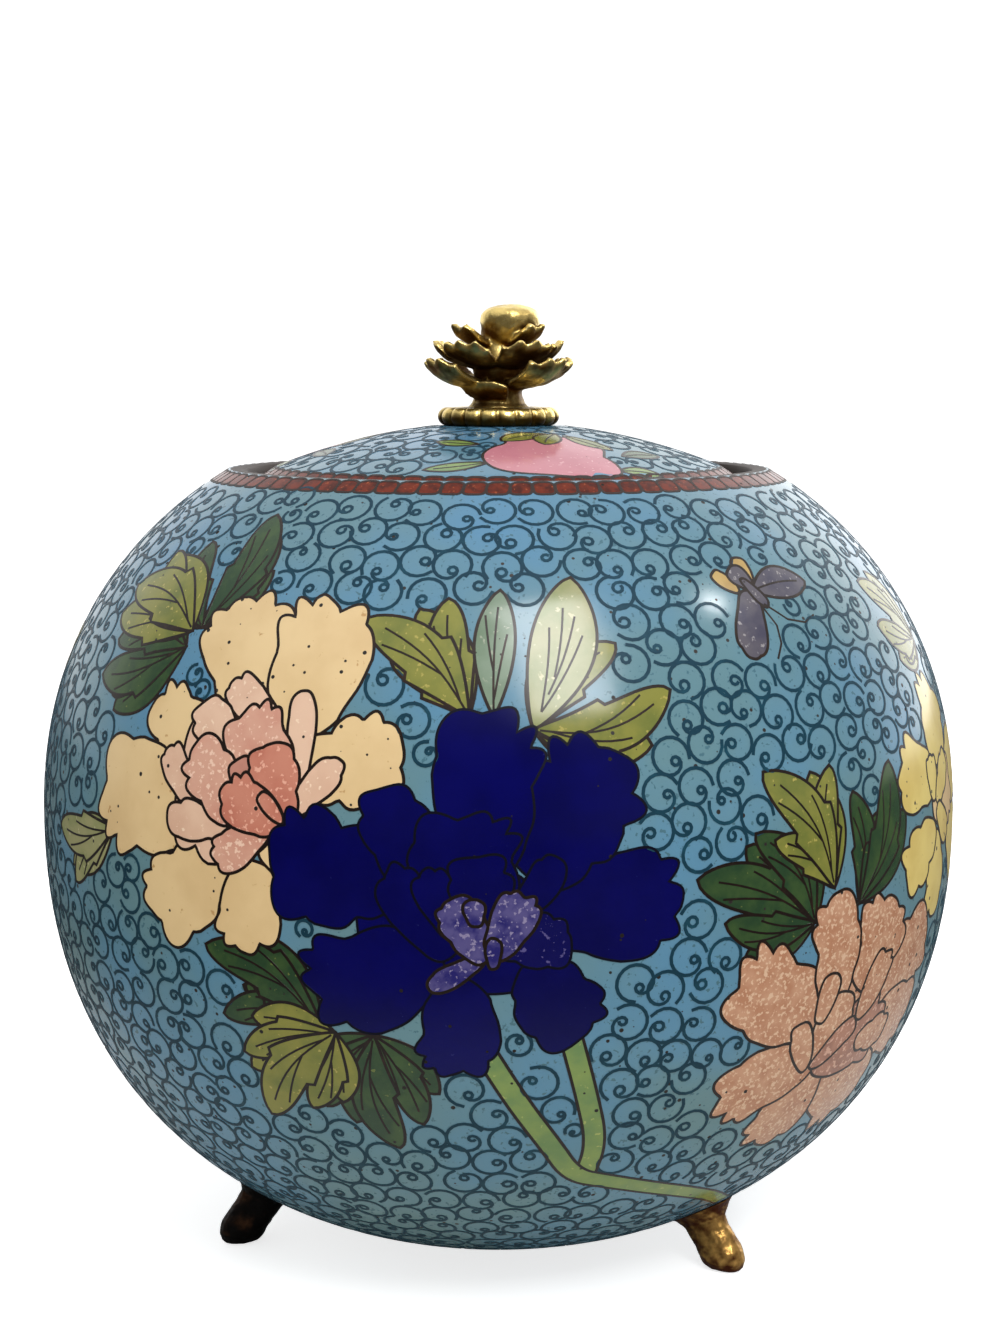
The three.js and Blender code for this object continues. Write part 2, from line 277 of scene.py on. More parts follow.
# %% The lid's half outline
LID_GAP = 1.6
BORDER_WIDTH = 2.3
BORDER_RISE = 1.5
LID_EDGE_HEIGHT = 1.5
LID_EDGE_ROUNDING = 0.2
LID_EDGE_DROP = 0.25
DOME_RADIUS = 76.0
LID_WALL = 2.0
FLANGE_GAP = 0.5
FLANGE_WALL = 1.5
FLANGE_DEPTH = 5.0
COLLAR_SEAT_RADIUS = 7.9
DOME_STEPS = 40
LID_RADIUS = MOUTH_RADIUS - LID_GAP
BORDER_INNER = LID_RADIUS - BORDER_WIDTH
EDGE_TOP = SEAT_HEIGHT + LID_EDGE_HEIGHT
BORDER_TOP = EDGE_TOP + BORDER_RISE
DOME_CENTRE = BORDER_TOP - math.sqrt(DOME_RADIUS**2 - BORDER_INNER**2)
FLANGE_OUTER = SEAT_RADIUS - FLANGE_GAP
FLANGE_INNER = FLANGE_OUTER - FLANGE_WALL


def dome_height(radius, inset=0.0):
    """Height of the dome at a radius, both in mm."""
    return DOME_CENTRE + np.sqrt((DOME_RADIUS - inset) ** 2 - radius**2)


def lid_place(points):
    """Places in mm and outward directions on the lid's top, for points (x, y) seen from above."""
    radius = np.hypot(*points.T)
    on_border = radius > BORDER_INNER
    border = BORDER_TOP - (radius - BORDER_INNER) / BORDER_WIDTH * BORDER_RISE
    height = np.where(on_border, border, dome_height(np.minimum(radius, BORDER_INNER)))
    slope = np.where(on_border, BORDER_RISE / BORDER_WIDTH, radius / (height - DOME_CENTRE))
    way = points / np.maximum(radius, 1e-6)[:, None]
    out = np.column_stack([way * slope[:, None], np.ones(len(points))])
    place = np.column_stack([points, height])
    return place, out / np.linalg.norm(out, axis=1)[:, None]


dome = np.linspace(BORDER_INNER, COLLAR_SEAT_RADIUS, DOME_STEPS + 1)
inner_dome = np.linspace(0, FLANGE_INNER, DOME_STEPS // 2)
lid_outline = [(radius, dome_height(radius, LID_WALL)) for radius in inner_dome]
lid_outline += [
    (FLANGE_INNER, SEAT_HEIGHT - FLANGE_DEPTH),
    (FLANGE_OUTER, SEAT_HEIGHT - FLANGE_DEPTH),
    (FLANGE_OUTER, SEAT_HEIGHT),
    (LID_RADIUS - LID_EDGE_ROUNDING, SEAT_HEIGHT),
    (LID_RADIUS, SEAT_HEIGHT + LID_EDGE_ROUNDING),
    (LID_RADIUS, EDGE_TOP - LID_EDGE_DROP),
    (LID_RADIUS - LID_EDGE_ROUNDING, EDGE_TOP - SKIN_DEPTH),
]
lid_outline += [(radius, dome_height(radius, SKIN_DEPTH)) for radius in dome]
lid_outline += [(0, dome_height(COLLAR_SEAT_RADIUS, SKIN_DEPTH))]
lid_shell = spun("lid_shell", lid_outline)
print("lid_shell:", len(lid_shell.data.polygons), "faces, edge at", round(EDGE_TOP, 2), "mm")

# %% [markdown]
# ## Cells that lie flush
# On the real jar each petal is a cell: glass in the middle and a wire round it. Painting them as a picture
# would lose the crisp wires and the way that each glass takes the light, so every cell is a thin solid of
# its own colour let into the skin. The outlines overlap like paper cut-outs. All of them go into one
# triangulation, and each triangle then belongs to the topmost outline that holds it: to its wire near the
# edge, or else to its glass. The solids keep the exact directions of the turned surface, so a reflection
# runs on across all of them.

# %% From a flat drawing to thin solids
CELL_LIFT = 0.01
WIRE_LIFT = 0.03
CELL_DEPTH = 0.2
GRID_STEP = 1.5
CUT_PRECISION = 1e-5


def closed_sheet(top, bottom, triangles):
    """Closes a sheet of triangles into a thin solid: the sheet, its copy below and a wall round its edge."""
    count = len(top)
    sides = np.concatenate([triangles[:, [0, 1]], triangles[:, [1, 2]], triangles[:, [2, 0]]])
    _, where, times = np.unique(np.sort(sides, axis=1), axis=0, return_index=True, return_counts=True)
    border = sides[where[times == 1]]
    under = triangles[:, ::-1] + count
    walls = np.column_stack([border[:, 1], border[:, 0], border[:, 0] + count, border[:, 1] + count])
    return np.concatenate([top, bottom]), triangles.tolist() + under.tolist() + walls.tolist()


def inlay(name, place_on, points, triangles, lift, depth=CELL_DEPTH):
    """A thin solid let into the jar or the lid, from a flat drawing in that surface's chart."""
    used, triangles = np.unique(triangles, return_inverse=True)
    triangles = triangles.reshape(-1, 3)
    place, out = place_on(points[used])
    places, faces = closed_sheet(place + out * lift, place - out * depth, triangles)
    piece = new_piece(name, places, faces)
    directions = np.zeros((len(piece.data.loops), 3))
    directions[: triangles.size] = out[triangles.ravel()]
    piece.data.normals_split_custom_set(directions.tolist())
    return piece


print("cells lie", CELL_LIFT, "mm and wires", WIRE_LIFT, "mm above the chart")

# %% Sorting the triangles of overlapping outlines


def inside(points, outline):
    """True where a point lies in a closed outline, by counting the sides that it passes under."""
    found = np.zeros(len(points), bool)
    low, high = outline.min(axis=0), outline.max(axis=0)
    near = np.flatnonzero(((points >= low) & (points <= high)).all(axis=1))
    if not len(near):
        return found
    x, y = points[near].T
    hit = np.zeros(len(near), bool)
    for (x0, y0), (x1, y1) in zip(outline, np.roll(outline, -1, axis=0)):
        if y0 != y1:
            crosses = (y0 > y) != (y1 > y)
            hit ^= crosses & (x < x0 + (y - y0) * (x1 - x0) / (y1 - y0))
    found[near] = hit
    return found


def cut_cells(shapes, step=GRID_STEP):
    """Triangulates all the outlines together and sorts the triangles by the colour of the topmost shape."""
    outlines = [line for shape in shapes for line in (shape["wire"], shape["glass"]) if line is not None]
    corners = np.concatenate(outlines)
    starts = np.cumsum([0] + [len(line) for line in outlines])
    edges = []
    for start, end in zip(starts, starts[1:]):
        edges += [(index, index + 1) for index in range(start, end - 1)] + [(end - 1, start)]
    low, high = corners.min(axis=0), corners.max(axis=0)
    grid = np.stack(np.meshgrid(np.arange(low[0], high[0], step), np.arange(low[1], high[1], step)), axis=-1)
    grid[1::2, :, 0] += step / 2
    grid = grid.reshape(-1, 2)
    covered = np.zeros(len(grid), bool)
    for shape in shapes:
        covered |= inside(grid, shape["wire"])
    every = np.concatenate([corners, grid[covered]])
    found = geometry.delaunay_2d_cdt([Vector(point) for point in every], edges, [], 0, CUT_PRECISION, False)
    points = np.array([tuple(point) for point in found[0]])
    triangles = np.array([face for face in found[2] if len(face) == 3])
    middle = points[triangles].mean(axis=1)
    free = np.ones(len(triangles), bool)
    sorted_cells = {}
    for shape in reversed(shapes):
        in_wire = free & inside(middle, shape["wire"])
        in_glass = in_wire & (shape["glass"] is not None)
        if shape["glass"] is not None:
            in_glass &= inside(middle, shape["glass"])
        sorted_cells.setdefault(shape["colour"], []).append(triangles[in_glass])
        sorted_cells.setdefault(shape["metal"], []).append(triangles[in_wire & ~in_glass])
        free &= ~in_wire
    return points, {colour: np.concatenate(parts) for colour, parts in sorted_cells.items()}


def inlaid(surface, place_on, groups, step=GRID_STEP):
    """Cuts groups of shapes and lets them into a surface, as one piece for each colour."""
    sheets = {}
    for shapes in groups:
        points, by_colour = cut_cells(shapes, step)
        for colour, triangles in by_colour.items():
            kept_points, kept_triangles = sheets.get(colour, (np.zeros((0, 2)), np.zeros((0, 3), int)))
            every = np.concatenate([kept_points, points])
            sheets[colour] = (every, np.concatenate([kept_triangles, triangles + len(kept_points)]))
    pieces = {}
    for colour, (points, triangles) in sheets.items():
        if len(triangles):
            lift = WIRE_LIFT if colour.endswith("wire") else CELL_LIFT
            pieces[colour] = inlay(surface + "_" + colour, place_on, points, triangles, lift)
    return pieces


print("triangulation ready, inner points every", GRID_STEP, "mm")

# %% [markdown]
# ## Petals, leaves and stems as outlines
# A peony petal here is a drop with a scalloped outer edge, so one formula with a base, a tip, a width and a
# count of scallops draws them all, and no two need to be alike. A leaf is two or three pointed leaflets
# with soft lobes, each with a shorter one half hidden behind it, and its veins are bare wires with no glass
# of their own. The chart narrows towards the rim, so each outline is drawn in true millimetres and then
# moved into the chart.

# %% Moving between true millimetres and the chart
FLOWER_WIRE = 0.35
COBALT_WIRE = 0.28
VEIN_WIRE = 0.24
SHARPEST_MITRE = 0.6


def to_flat(points, anchor):
    """Chart points to true mm about the chart line u = anchor."""
    points = np.asarray(points, float)
    return np.column_stack([(points[:, 0] - anchor) * radius_at(points[:, 1]) / BELLY, points[:, 1]])


def to_chart(points, anchor):
    """True mm about the chart line u = anchor back to chart points."""
    return np.column_stack([anchor + points[:, 0] * BELLY / radius_at(points[:, 1]), points[:, 1]])


def turned_about(points, angle):
    """Flat points turned clockwise about the middle."""
    cosine, sine = math.cos(angle), math.sin(angle)
    return np.asarray(points, float) @ np.array([[cosine, sine], [-sine, cosine]])


def unit(vectors):
    """Vectors made one long."""
    return vectors / np.maximum(np.linalg.norm(vectors, axis=1), 1e-9)[:, None]


def grown(outline, distance):
    """A closed anticlockwise outline moved outwards by a distance in mm, or inwards if it is negative."""
    before = unit(outline - np.roll(outline, 1, axis=0))
    after = unit(np.roll(outline, -1, axis=0) - outline)
    out_before = np.column_stack([before[:, 1], -before[:, 0]])
    out_after = np.column_stack([after[:, 1], -after[:, 0]])
    middle = unit(out_before + out_after)
    mitre = np.clip((middle * out_after).sum(axis=1), SHARPEST_MITRE, 1)
    return outline + middle * (distance / mitre)[:, None]


def line_of(base, tip):
    """The way from base to tip, the way across it to the left, and the length."""
    axis = np.subtract(tip, base)
    length = np.linalg.norm(axis)
    axis = axis / length
    return axis, np.array([-axis[1], axis[0]]), length


def ribbon(route, width):
    """The closed edge of a strip of a width along a route, both in true mm."""
    way = unit(np.gradient(route, axis=0))
    side = np.column_stack([-way[:, 1], way[:, 0]]) * width / 2
    return np.concatenate([route - side, (route + side)[::-1]])


def cell(outline, colour, anchor=None, wire=FLOWER_WIRE, metal="flower_wire"):
    """A cell from a closed outline in true mm: its wire's outer edge and its glass, in the chart."""
    along = np.roll(outline, -1, axis=0)
    if (outline[:, 0] * along[:, 1] - along[:, 0] * outline[:, 1]).sum() < 0:
        outline = outline[::-1]
    lines = [grown(outline, wire / 2), grown(outline, -wire / 2)]
    if anchor is not None:
        lines = [to_chart(line, anchor) for line in lines]
    return {"wire": lines[0], "glass": lines[1], "colour": colour, "metal": metal}


def vein(route, anchor=None, wire=VEIN_WIRE, metal="flower_wire"):
    """A bare wire along a route in true mm."""
    edge = ribbon(route, wire)
    if anchor is not None:
        edge = to_chart(edge, anchor)
    return {"wire": edge, "glass": None, "colour": metal, "metal": metal}


print("flower wires", FLOWER_WIRE, "mm, veins", VEIN_WIRE, "mm")

# %% Drawing one petal
PETAL_POINTS = 120
PETAL_HEART = 0.58
PETAL_NARROWING = 0.3
PETAL_SQUARENESS = 0.74
SMALL_PETAL = 8.0
SCALLOP_SPAN = 1.9
SCALLOP_FADE = 0.35
SCALLOP_DEPTH = 0.19
SCALLOP_SPREAD = (0.7, 1.4)
SCALLOP_WARP = 0.42
NOTCH_SHARPNESS = 0.9
SLOW_WAVE = 0.035
FAST_WAVE = 0.02


def petal_outline(base, tip, width, scallops):
    """A broad drop from base to tip in true mm, with its outer edge in scallops of uneven size."""
    axis, across_axis, length = line_of(base, tip)
    turn = np.linspace(-math.pi, math.pi, PETAL_POINTS, endpoint=False)
    cosine = signed_power(np.cos(turn), PETAL_SQUARENESS)
    sine = signed_power(np.sin(turn), PETAL_SQUARENESS)
    along = np.where(cosine > 0, (1 - PETAL_HEART) * cosine, PETAL_HEART * cosine) * length
    across = sine * width / 2 * (1 - PETAL_NARROWING * np.clip(-cosine, 0, 1))
    uneven, lean, wave = rng.uniform(0, 2 * math.pi, 3)
    scallops += scallops > 1
    count = (turn + SCALLOP_SPAN) / (2 * SCALLOP_SPAN) * scallops
    count = count + SCALLOP_WARP * np.sin(2 * math.pi * count / scallops + uneven)
    notch = (1 - np.abs(np.sin(math.pi * count))) ** NOTCH_SHARPNESS
    spread = rng.uniform(*SCALLOP_SPREAD, scallops + 2)
    spread = spread[np.clip(np.round(count).astype(int), 0, scallops)]
    depth = SCALLOP_DEPTH * min(width / SMALL_PETAL, 1) * spread
    fade = np.clip((SCALLOP_SPAN + SCALLOP_FADE - np.abs(turn)) / SCALLOP_FADE, 0, 1)
    waves = 1 + SLOW_WAVE * np.sin(2 * turn + lean) + FAST_WAVE * np.sin(5 * turn + wave)
    swell = (1 - notch * depth * fade) * waves
    heart = base + axis * PETAL_HEART * length
    return heart + np.outer(along * swell, axis) + np.outer(across * swell, across_axis)


def petal(colour, base, tip, width, scallops):
    """One petal cell of the jar, from chart places. Dark blue petals have thinner and darker wires."""
    anchor = (base[0] + tip[0]) / 2
    flat_base, flat_tip = to_flat([base, tip], anchor)
    outline = petal_outline(flat_base, flat_tip, width, scallops)
    if colour.startswith("cobalt"):
        return cell(outline, colour, anchor, COBALT_WIRE, "cobalt_wire")
    return cell(outline, colour, anchor)


print("a petal has", PETAL_POINTS, "points")

# %% Drawing leaves and stems
LEAFLET_POINTS = 28
LEAFLET_SLENDERNESS = 0.37
LEAFLET_WIDTH = 4.4
LEAFLET_FRONT = 1.15
LEAFLET_ROUNDNESS = 0.7
LEAFLET_BEND = (0.05, 0.13)
LOBE_NECK = 0.84
LOBE_SWELL = 0.26
LOBE_SHARPNESS = 1.6
SIDE_LENGTH = 0.8
SIDE_WIDTH = 0.9
SIDE_BEND = 0.04
SIDE_TURN = math.radians(22)
SIDE_VEINS = (-0.62, 0.0, 0.62)
MIDRIB = (0.0,)
VEIN_SPREAD = 0.9
ROUNDING_PASSES = 3


def leaflet_parts(base, tip, width, bend, lobes):
    """Middle line and half widths of a pointed leaflet that bends to one side and has soft lobes."""
    axis, across_axis, length = line_of(base, tip)
    share = np.linspace(0, 1, LEAFLET_POINTS)
    middle = base + np.outer(share * length, axis)
    middle = middle + np.outer(bend * length * np.sin(math.pi * share), across_axis)
    half = width / 2 * np.sin(math.pi * share**LEAFLET_FRONT) ** LEAFLET_ROUNDNESS
    if lobes:
        half = half * (LOBE_NECK + LOBE_SWELL * (share * (lobes + 1) % 1) ** LOBE_SHARPNESS)
    half[-1] = 0
    return middle, half, across_axis


def leaflet(colour, base, tip, width, bend=0.0, lobes=1, veins=SIDE_VEINS, flat=False):
    """A leaflet cell with its veins. Places are in the chart, or in true mm where flat is set."""
    anchor = None if flat else (base[0] + tip[0]) / 2
    if not flat:
        base, tip = to_flat([base, tip], anchor)
    middle, half, across_axis = leaflet_parts(base, tip, width, bend, lobes)
    left = middle + np.outer(half, across_axis)
    right = middle - np.outer(half, across_axis)
    shapes = [cell(np.concatenate([right, left[1:-1][::-1]]), colour, anchor)]
    for order, lane in enumerate(veins):
        start, end = 1, LEAFLET_POINTS - 3
        if lane:
            start, end = 3 + 3 * (order % 3), LEAFLET_POINTS - 9 + 2 * (order % 3)
        branch = lane * width / 2 * np.linspace(0, 1, end - start) ** VEIN_SPREAD
        route = middle[start:end] + np.outer(branch, across_axis)
        shapes.append(vein(route[::2], anchor))
    return shapes


def leaf(colour, base, tips):
    """A leaf of several leaflets that share one base, each with a shorter one half hidden behind it."""
    behind, before = [], []
    for order, tip in enumerate(tips):
        hand = 1 if order % 2 else -1
        width = max(LEAFLET_WIDTH, math.dist(base, tip) * LEAFLET_SLENDERNESS)
        way = turned_about([np.subtract(tip, base) * SIDE_LENGTH], SIDE_TURN * hand)[0]
        behind += leaflet(colour, base, tuple(base + way), width * SIDE_WIDTH, SIDE_BEND * hand, 0, MIDRIB)
        before += leaflet(colour, base, tip, width, rng.uniform(*LEAFLET_BEND) * hand)
    return behind + before


def stem(colour, route, width):
    """A stem cell along a route of chart places, rounded between them."""
    anchor = route[len(route) // 2][0]
    corners = to_flat(route, anchor)
    for _ in range(ROUNDING_PASSES):
        quarter = corners[:-1] * 0.75 + corners[1:] * 0.25
        three = corners[:-1] * 0.25 + corners[1:] * 0.75
        between = np.stack([quarter, three], axis=1).reshape(-1, 2)
        corners = np.concatenate([corners[:1], between, corners[-1:]])
    return cell(ribbon(corners, width), colour, anchor)


print("a leaflet has", LEAFLET_POINTS, "points a side")

# %% Drawing whole flowers from lists


def as_listed(point):
    """A chart place that stays where it is."""
    return point


def mirrored_to(centre, new_centre):
    """A way to move chart places: mirrored, and with a centre carried to a new one."""
    return lambda point: (new_centre[0] - (point[0] - centre[0]), new_centre[1] + point[1] - centre[1])


def petals(groups, move=as_listed, colours={}):
    """Petals from rows of base u and v, tip u and v, width and scallops, under their colours."""
    return [
        petal(colours.get(colour, colour), move(row[:2]), move(row[2:4]), *row[4:])
        for colour, rows in groups
        for row in rows
    ]


def leaves(rows, move=as_listed):
    """Leaves from rows of a colour, a base and the leaflets' tips."""
    return [
        shape
        for colour, base, tips in rows
        for shape in leaf(colour, move(base), [move(tip) for tip in tips])
    ]


print("lists are read from the petals below to those above")

# %% [markdown]
# ## The flowers on the front
# Three big flowers share the front: a cream one with a pink heart, a cobalt one in the middle that overlaps
# it, and a speckled salmon one low at the right, with a yellow one behind it at the edge of what shows.
# Each list runs from the petals underneath to those on top, which is the order in which the wires hide each
# other.

# %% The cream peony, the cobalt peony and their leaves
CREAM_PEONY = [
    ("cream", [
        (-28.5, 17.5, -36.6, 33, 13, 4), (-23.4, 17, -21.6, 33.6, 13, 4), (-23, 12, -10.2, 16.8, 10.4, 4),
        (-34.6, 15.5, -45.6, 19, 8.6, 3), (-35.5, 8, -53.6, 8.6, 15, 4), (-31, 3.6, -43.2, -5.4, 11, 4),
        (-27.6, 3.4, -29.2, -7.4, 8.6, 3), (-27, 5, -22.2, 2.6, 3.6, 1),
    ]),
    ("pale_pink", [
        (-24, 10, -40, 11, 17, 3), (-26, 17.5, -33.6, 22.8, 4.8, 2), (-31.6, 14.5, -37.4, 20, 6, 2),
        (-22.4, 11.4, -23.2, 22.2, 3.6, 1), (-23, 8.8, -17.8, 14.8, 4, 1),
        (-36.6, 8.8, -41.4, 14.4, 4.4, 2), (-31, 6.6, -40.2, 6.8, 4.8, 2),
    ]),
    ("pink", [
        (-24.6, 11, -31.4, 19.4, 9, 4), (-29.6, 7.4, -37.4, 15.2, 7.4, 3), (-26, 7, -33, 2.6, 5, 2),
    ]),
    ("dusky_pink", [(-26.8, 9.6, -31, 14, 3.6, 1)]),
    ("salmon", [
        (-24, 7.4, -26.8, 16.4, 6.4, 3), (-24.6, 7, -32.2, 11, 6.4, 3), (-24.2, 7.6, -27.2, 10.6, 2, 1),
    ]),
]
COBALT_PEONY = [
    ("cobalt", [
        (-15, -3, 8.5, -3.6, 15, 1), (-10, 2, -26.4, 3.8, 13.4, 4), (-6, -6, -21.8, -11.4, 12.6, 4),
        (-4, -8.5, -4.8, -20.2, 10, 4), (3, -6.5, 9.6, -15.8, 9.8, 3), (3, -1, 20.4, -0.4, 13, 4),
        (3, 2.5, 13.4, 16.4, 13.4, 5), (-8, 1, -13, 12.6, 8, 2), (-1.6, 3, -1, 21, 13, 4),
        (-3, -2.4, -3.8, 10, 13, 4), (-5, -6, -12.4, 3.4, 6, 2), (-4, -4, -8, 3.6, 4.8, 2),
        (-1, -3, -2.4, 5.4, 7.4, 3), (2, -2, 6.6, 5, 4, 2),
    ]),
    ("cobalt_specked", [(-1, -4, 8.2, -4.4, 6.4, 3)]),
    ("lavender", [
        (-1.4, -6, -7.6, -9.6, 2.6, 2), (-1.6, -6.4, -5.2, 0.4, 5.2, 3), (-0.4, -6.2, 3, 1.2, 5.2, 3),
        (-2.4, -2.6, -2.6, 0.4, 2.4, 1), (-0.6, -7.3, -0.4, -3.8, 1.8, 1),
    ]),
]
FRONT_LEAVES = [
    ("dark_green", (-41.5, 28.5), [(-36, 41.5), (-50, 40), (-40, 45)]),
    ("dark_green", (-43, 26), [(-55, 19), (-59.5, 21), (-59, 25.5)]),
    ("olive", (-43, 28), [(-62, 28.6), (-57.5, 38), (-62.5, 32.6)]),
    ("pale_leaf", (-50, 4), [(-60, -4), (-65, 2)]),
    ("olive", (-3.3, 20), [(-13, 26.5), (-6.5, 33.7), (-17, 31)]),
    ("olive", (4, 18.5), [(16.5, 19.5), (14.5, 28), (20.5, 22.4)]),
    ("dark_green", (-20, -15), [(-33, -15), (-29, -6), (-34.5, -7)]),
    ("dark_green", (-14, -15.5), [(-21, -25.5), (-9, -27), (-12.5, -31)]),
    ("olive", (-18.5, -15.5), [(-31, -19.5), (-23, -26), (-29.5, -28)]),
]
LONG_STEM = [
    (-1.5, -17), (2.5, -24), (6.5, -30), (10, -35.6), (15, -37.2),
    (22, -39.6), (30, -42.5), (38, -46), (46, -50.6),
]
SHORT_STEM = [(8, -15), (10.4, -23), (12.4, -30), (11.6, -36)]
STEM_WIDTH = 2.4
front = leaves(FRONT_LEAVES)
front += leaflet("grey_leaf", (-0.5, 20), (0.3, 34.8), 4.4, 0.02, 0)
front += leaflet("pale_leaf", (4, 18.5), (10, 36.4), 7.2, -0.05, 0, (-0.55, -0.2, 0.2, 0.55))
front += [stem("stem_green", route, STEM_WIDTH) for route in (SHORT_STEM, LONG_STEM)]
front += petals(CREAM_PEONY + COBALT_PEONY)
print("front:", len(front), "outlines")

# %% The salmon peony, the yellow flower and the butterfly
SALMON_PEONY = [
    ("speckled_salmon", [
        (36, -23, 60, -17, 17, 1), (50, -18, 65, -10, 13, 3), (50, -22, 66, -21, 11, 3),
        (46, -24, 57, -33.6, 12, 3), (42, -23, 38.6, -35.4, 10.4, 3), (42, -22, 27, -26.2, 10.6, 4),
        (42, -17.4, 26.6, -10, 12, 4), (48, -15, 52.8, -4.6, 12.4, 4), (43, -16, 41.6, -2.2, 9, 3),
    ]),
    ("rose_brown", [(42, -23, 56, -20, 12, 3)]),
    ("speckled_salmon", [
        (49, -19, 53, -10.6, 5, 2), (50, -22, 58, -22, 5, 2), (42, -24, 45, -14.4, 6.6, 2),
        (41, -18, 42.3, -11.6, 3.4, 1), (41, -24, 37.5, -17.2, 3.6, 1),
    ]),
    ("rose_brown", [(42, -24, 48.6, -18.8, 3.6, 1)]),
]
YELLOW_PEONY = [
    ("yellow", [
        (65, 1, 66, -9.6, 8.4, 3), (65, 2, 55, -3.4, 8.2, 3), (71, 2, 82, -5, 10, 3),
        (71, 7, 83.5, 8, 10.6, 4), (65, 7, 54.6, 10.4, 10, 3), (66, 9, 72.4, 19, 11, 4),
    ]),
    ("cream", [(64, 4, 75, 6, 9, 4)]),
    ("yellow", [
        (65, 5, 64.6, 10.4, 4.4, 2), (66, 4.6, 72, 9.6, 4.6, 2), (66, 4, 71, -0.4, 4.4, 2),
    ]),
]
RIGHT_LEAVES = [
    ("dark_green", (38, -5), [(22, 1.6), (25.5, -3.6), (29.4, 6)]),
    ("dark_green", (45.5, -4), [(44.5, 9), (53.4, 5), (52.5, 11.5)]),
    ("olive", (41, -1.5), [(32, 5), (41, 12.4), (31, 12.6)]),
    ("olive", (74, 24), [(66, 22), (61, 27), (63, 33)]),
]
right = leaves(RIGHT_LEAVES) + petals(YELLOW_PEONY + SALMON_PEONY)
butterfly = [
    petal("ochre", (37, 33.5), (37.2, 38.4), 2.4, 1),
    petal("ochre", (34.5, 33.6), (31.6, 36.4), 2.2, 1),
    petal("slate", (36.6, 33.8), (32.8, 25.2), 4.4, 1),
    petal("slate", (37.4, 34.2), (34.6, 36.8), 3, 1),
    *leaflet("slate", (37, 33.6), (48.4, 34.2), 4.4, 0.06, 0, MIDRIB),
    petal("slate", (36, 35.4), (38.6, 31.4), 1.6, 1),
    vein(to_flat([(38, 31.8), (41, 29.6), (44, 29), (46.4, 29.8)], 41), 41),
    vein(to_flat([(37.4, 31.6), (38.6, 29), (38.2, 26.8), (36.8, 25)], 38), 38),
]
print("right:", len(right), "outlines, butterfly:", len(butterfly))

# %% [markdown]
# ## The back of the jar
# Nothing shows of the back, so it carries the same kinds of flower in a plainer layout: two peonies, one
# pink and one cream, with a few leaves. The lists are used again, mirrored, moved round the jar and given
# other colours, which is also how a workshop repeats its patterns.

# %% The same flowers again, behind
PINK_COLOURS = {"cobalt": "rose", "cobalt_specked": "pale_pink", "lavender": "cream"}
pink_move = mirrored_to((0, 0), (150, 4))
cream_move = mirrored_to((-30, 10), (-112, 2))
low_leaf_move = mirrored_to((-14, -15), (-124, -14))
back = leaves(FRONT_LEAVES[4:], pink_move) + petals(COBALT_PEONY, pink_move, PINK_COLOURS)
back_left = leaves(FRONT_LEAVES[:3], cream_move) + leaves(FRONT_LEAVES[6:], low_leaf_move)
back_left += petals(CREAM_PEONY, cream_move)
print("back:", len(back) + len(back_left), "outlines")

# %% Cutting the picture into cells
picture = (front, right, butterfly, back, back_left)
body_pieces = inlaid("body", body_place, picture)
print("body cells:", {colour: len(piece.data.polygons) for colour, piece in body_pieces.items()})
print("picture outlines:", sum(map(len, picture)))

# %% [markdown]
# ## The band of scales at the rim
# Below the rim runs a band of red-brown cells like fish scales, and the lid's border answers it. They
# repeat evenly, so a loop sets them out, each one a rounded cell with a wire round it.

# %% Scales round the rim and the lid's border
SCALE_PITCH = 2.6
BAND_WIDTH = 2.7
SCALE_WIRE = 0.34
SCALE_POINTS = 22
SCALE_SQUARENESS = 0.55
SCALE_ROUNDER_BELOW = 0.1
SCALE_UNEVEN = (0.96, 1.04)
SCALE_LEAN = (-0.1, 0.16)
SCALE_GRID_STEP = 1.2


def scale_outline(width, height, lean=0.0):
    """A scale with its round end down and its flat end up, about its own middle."""
    turn = np.linspace(0, 2 * math.pi, SCALE_POINTS, endpoint=False)
    squarer = SCALE_SQUARENESS + SCALE_ROUNDER_BELOW * np.sin(turn)
    x = signed_power(np.cos(turn), squarer) * width / 2
    y = signed_power(np.sin(turn), squarer) * height / 2
    return np.column_stack([x + lean * y, y])


band_middle = BODY_TOP - BAND_WIDTH / 2
scale_count = round(2 * math.pi * radius_at(band_middle) / SCALE_PITCH)
rim_scales = []
for index in range(scale_count):
    anchor = (index / scale_count - 0.5) * 2 * math.pi * BELLY
    size = rng.uniform(*SCALE_UNEVEN)
    shape = scale_outline(SCALE_PITCH * size, BAND_WIDTH - SCALE_WIRE, rng.uniform(*SCALE_LEAN))
    rim_scales.append(cell(shape + [0, band_middle], "scale_red", anchor, SCALE_WIRE, "scale_wire"))
body_pieces |= inlaid("body", body_place, [rim_scales], SCALE_GRID_STEP)
print("rim:", scale_count, "scales")

# %% [markdown]
# ## The lid's picture
# The lid carries a pink peach with an olive calyx and small green leaves, low at the front. The dome is
# nearly flat, so its chart is just the view from above, and the outlines need no bending before they are
# cut. The same spray is repeated twice more round the lid, where the photo doesn't reach.

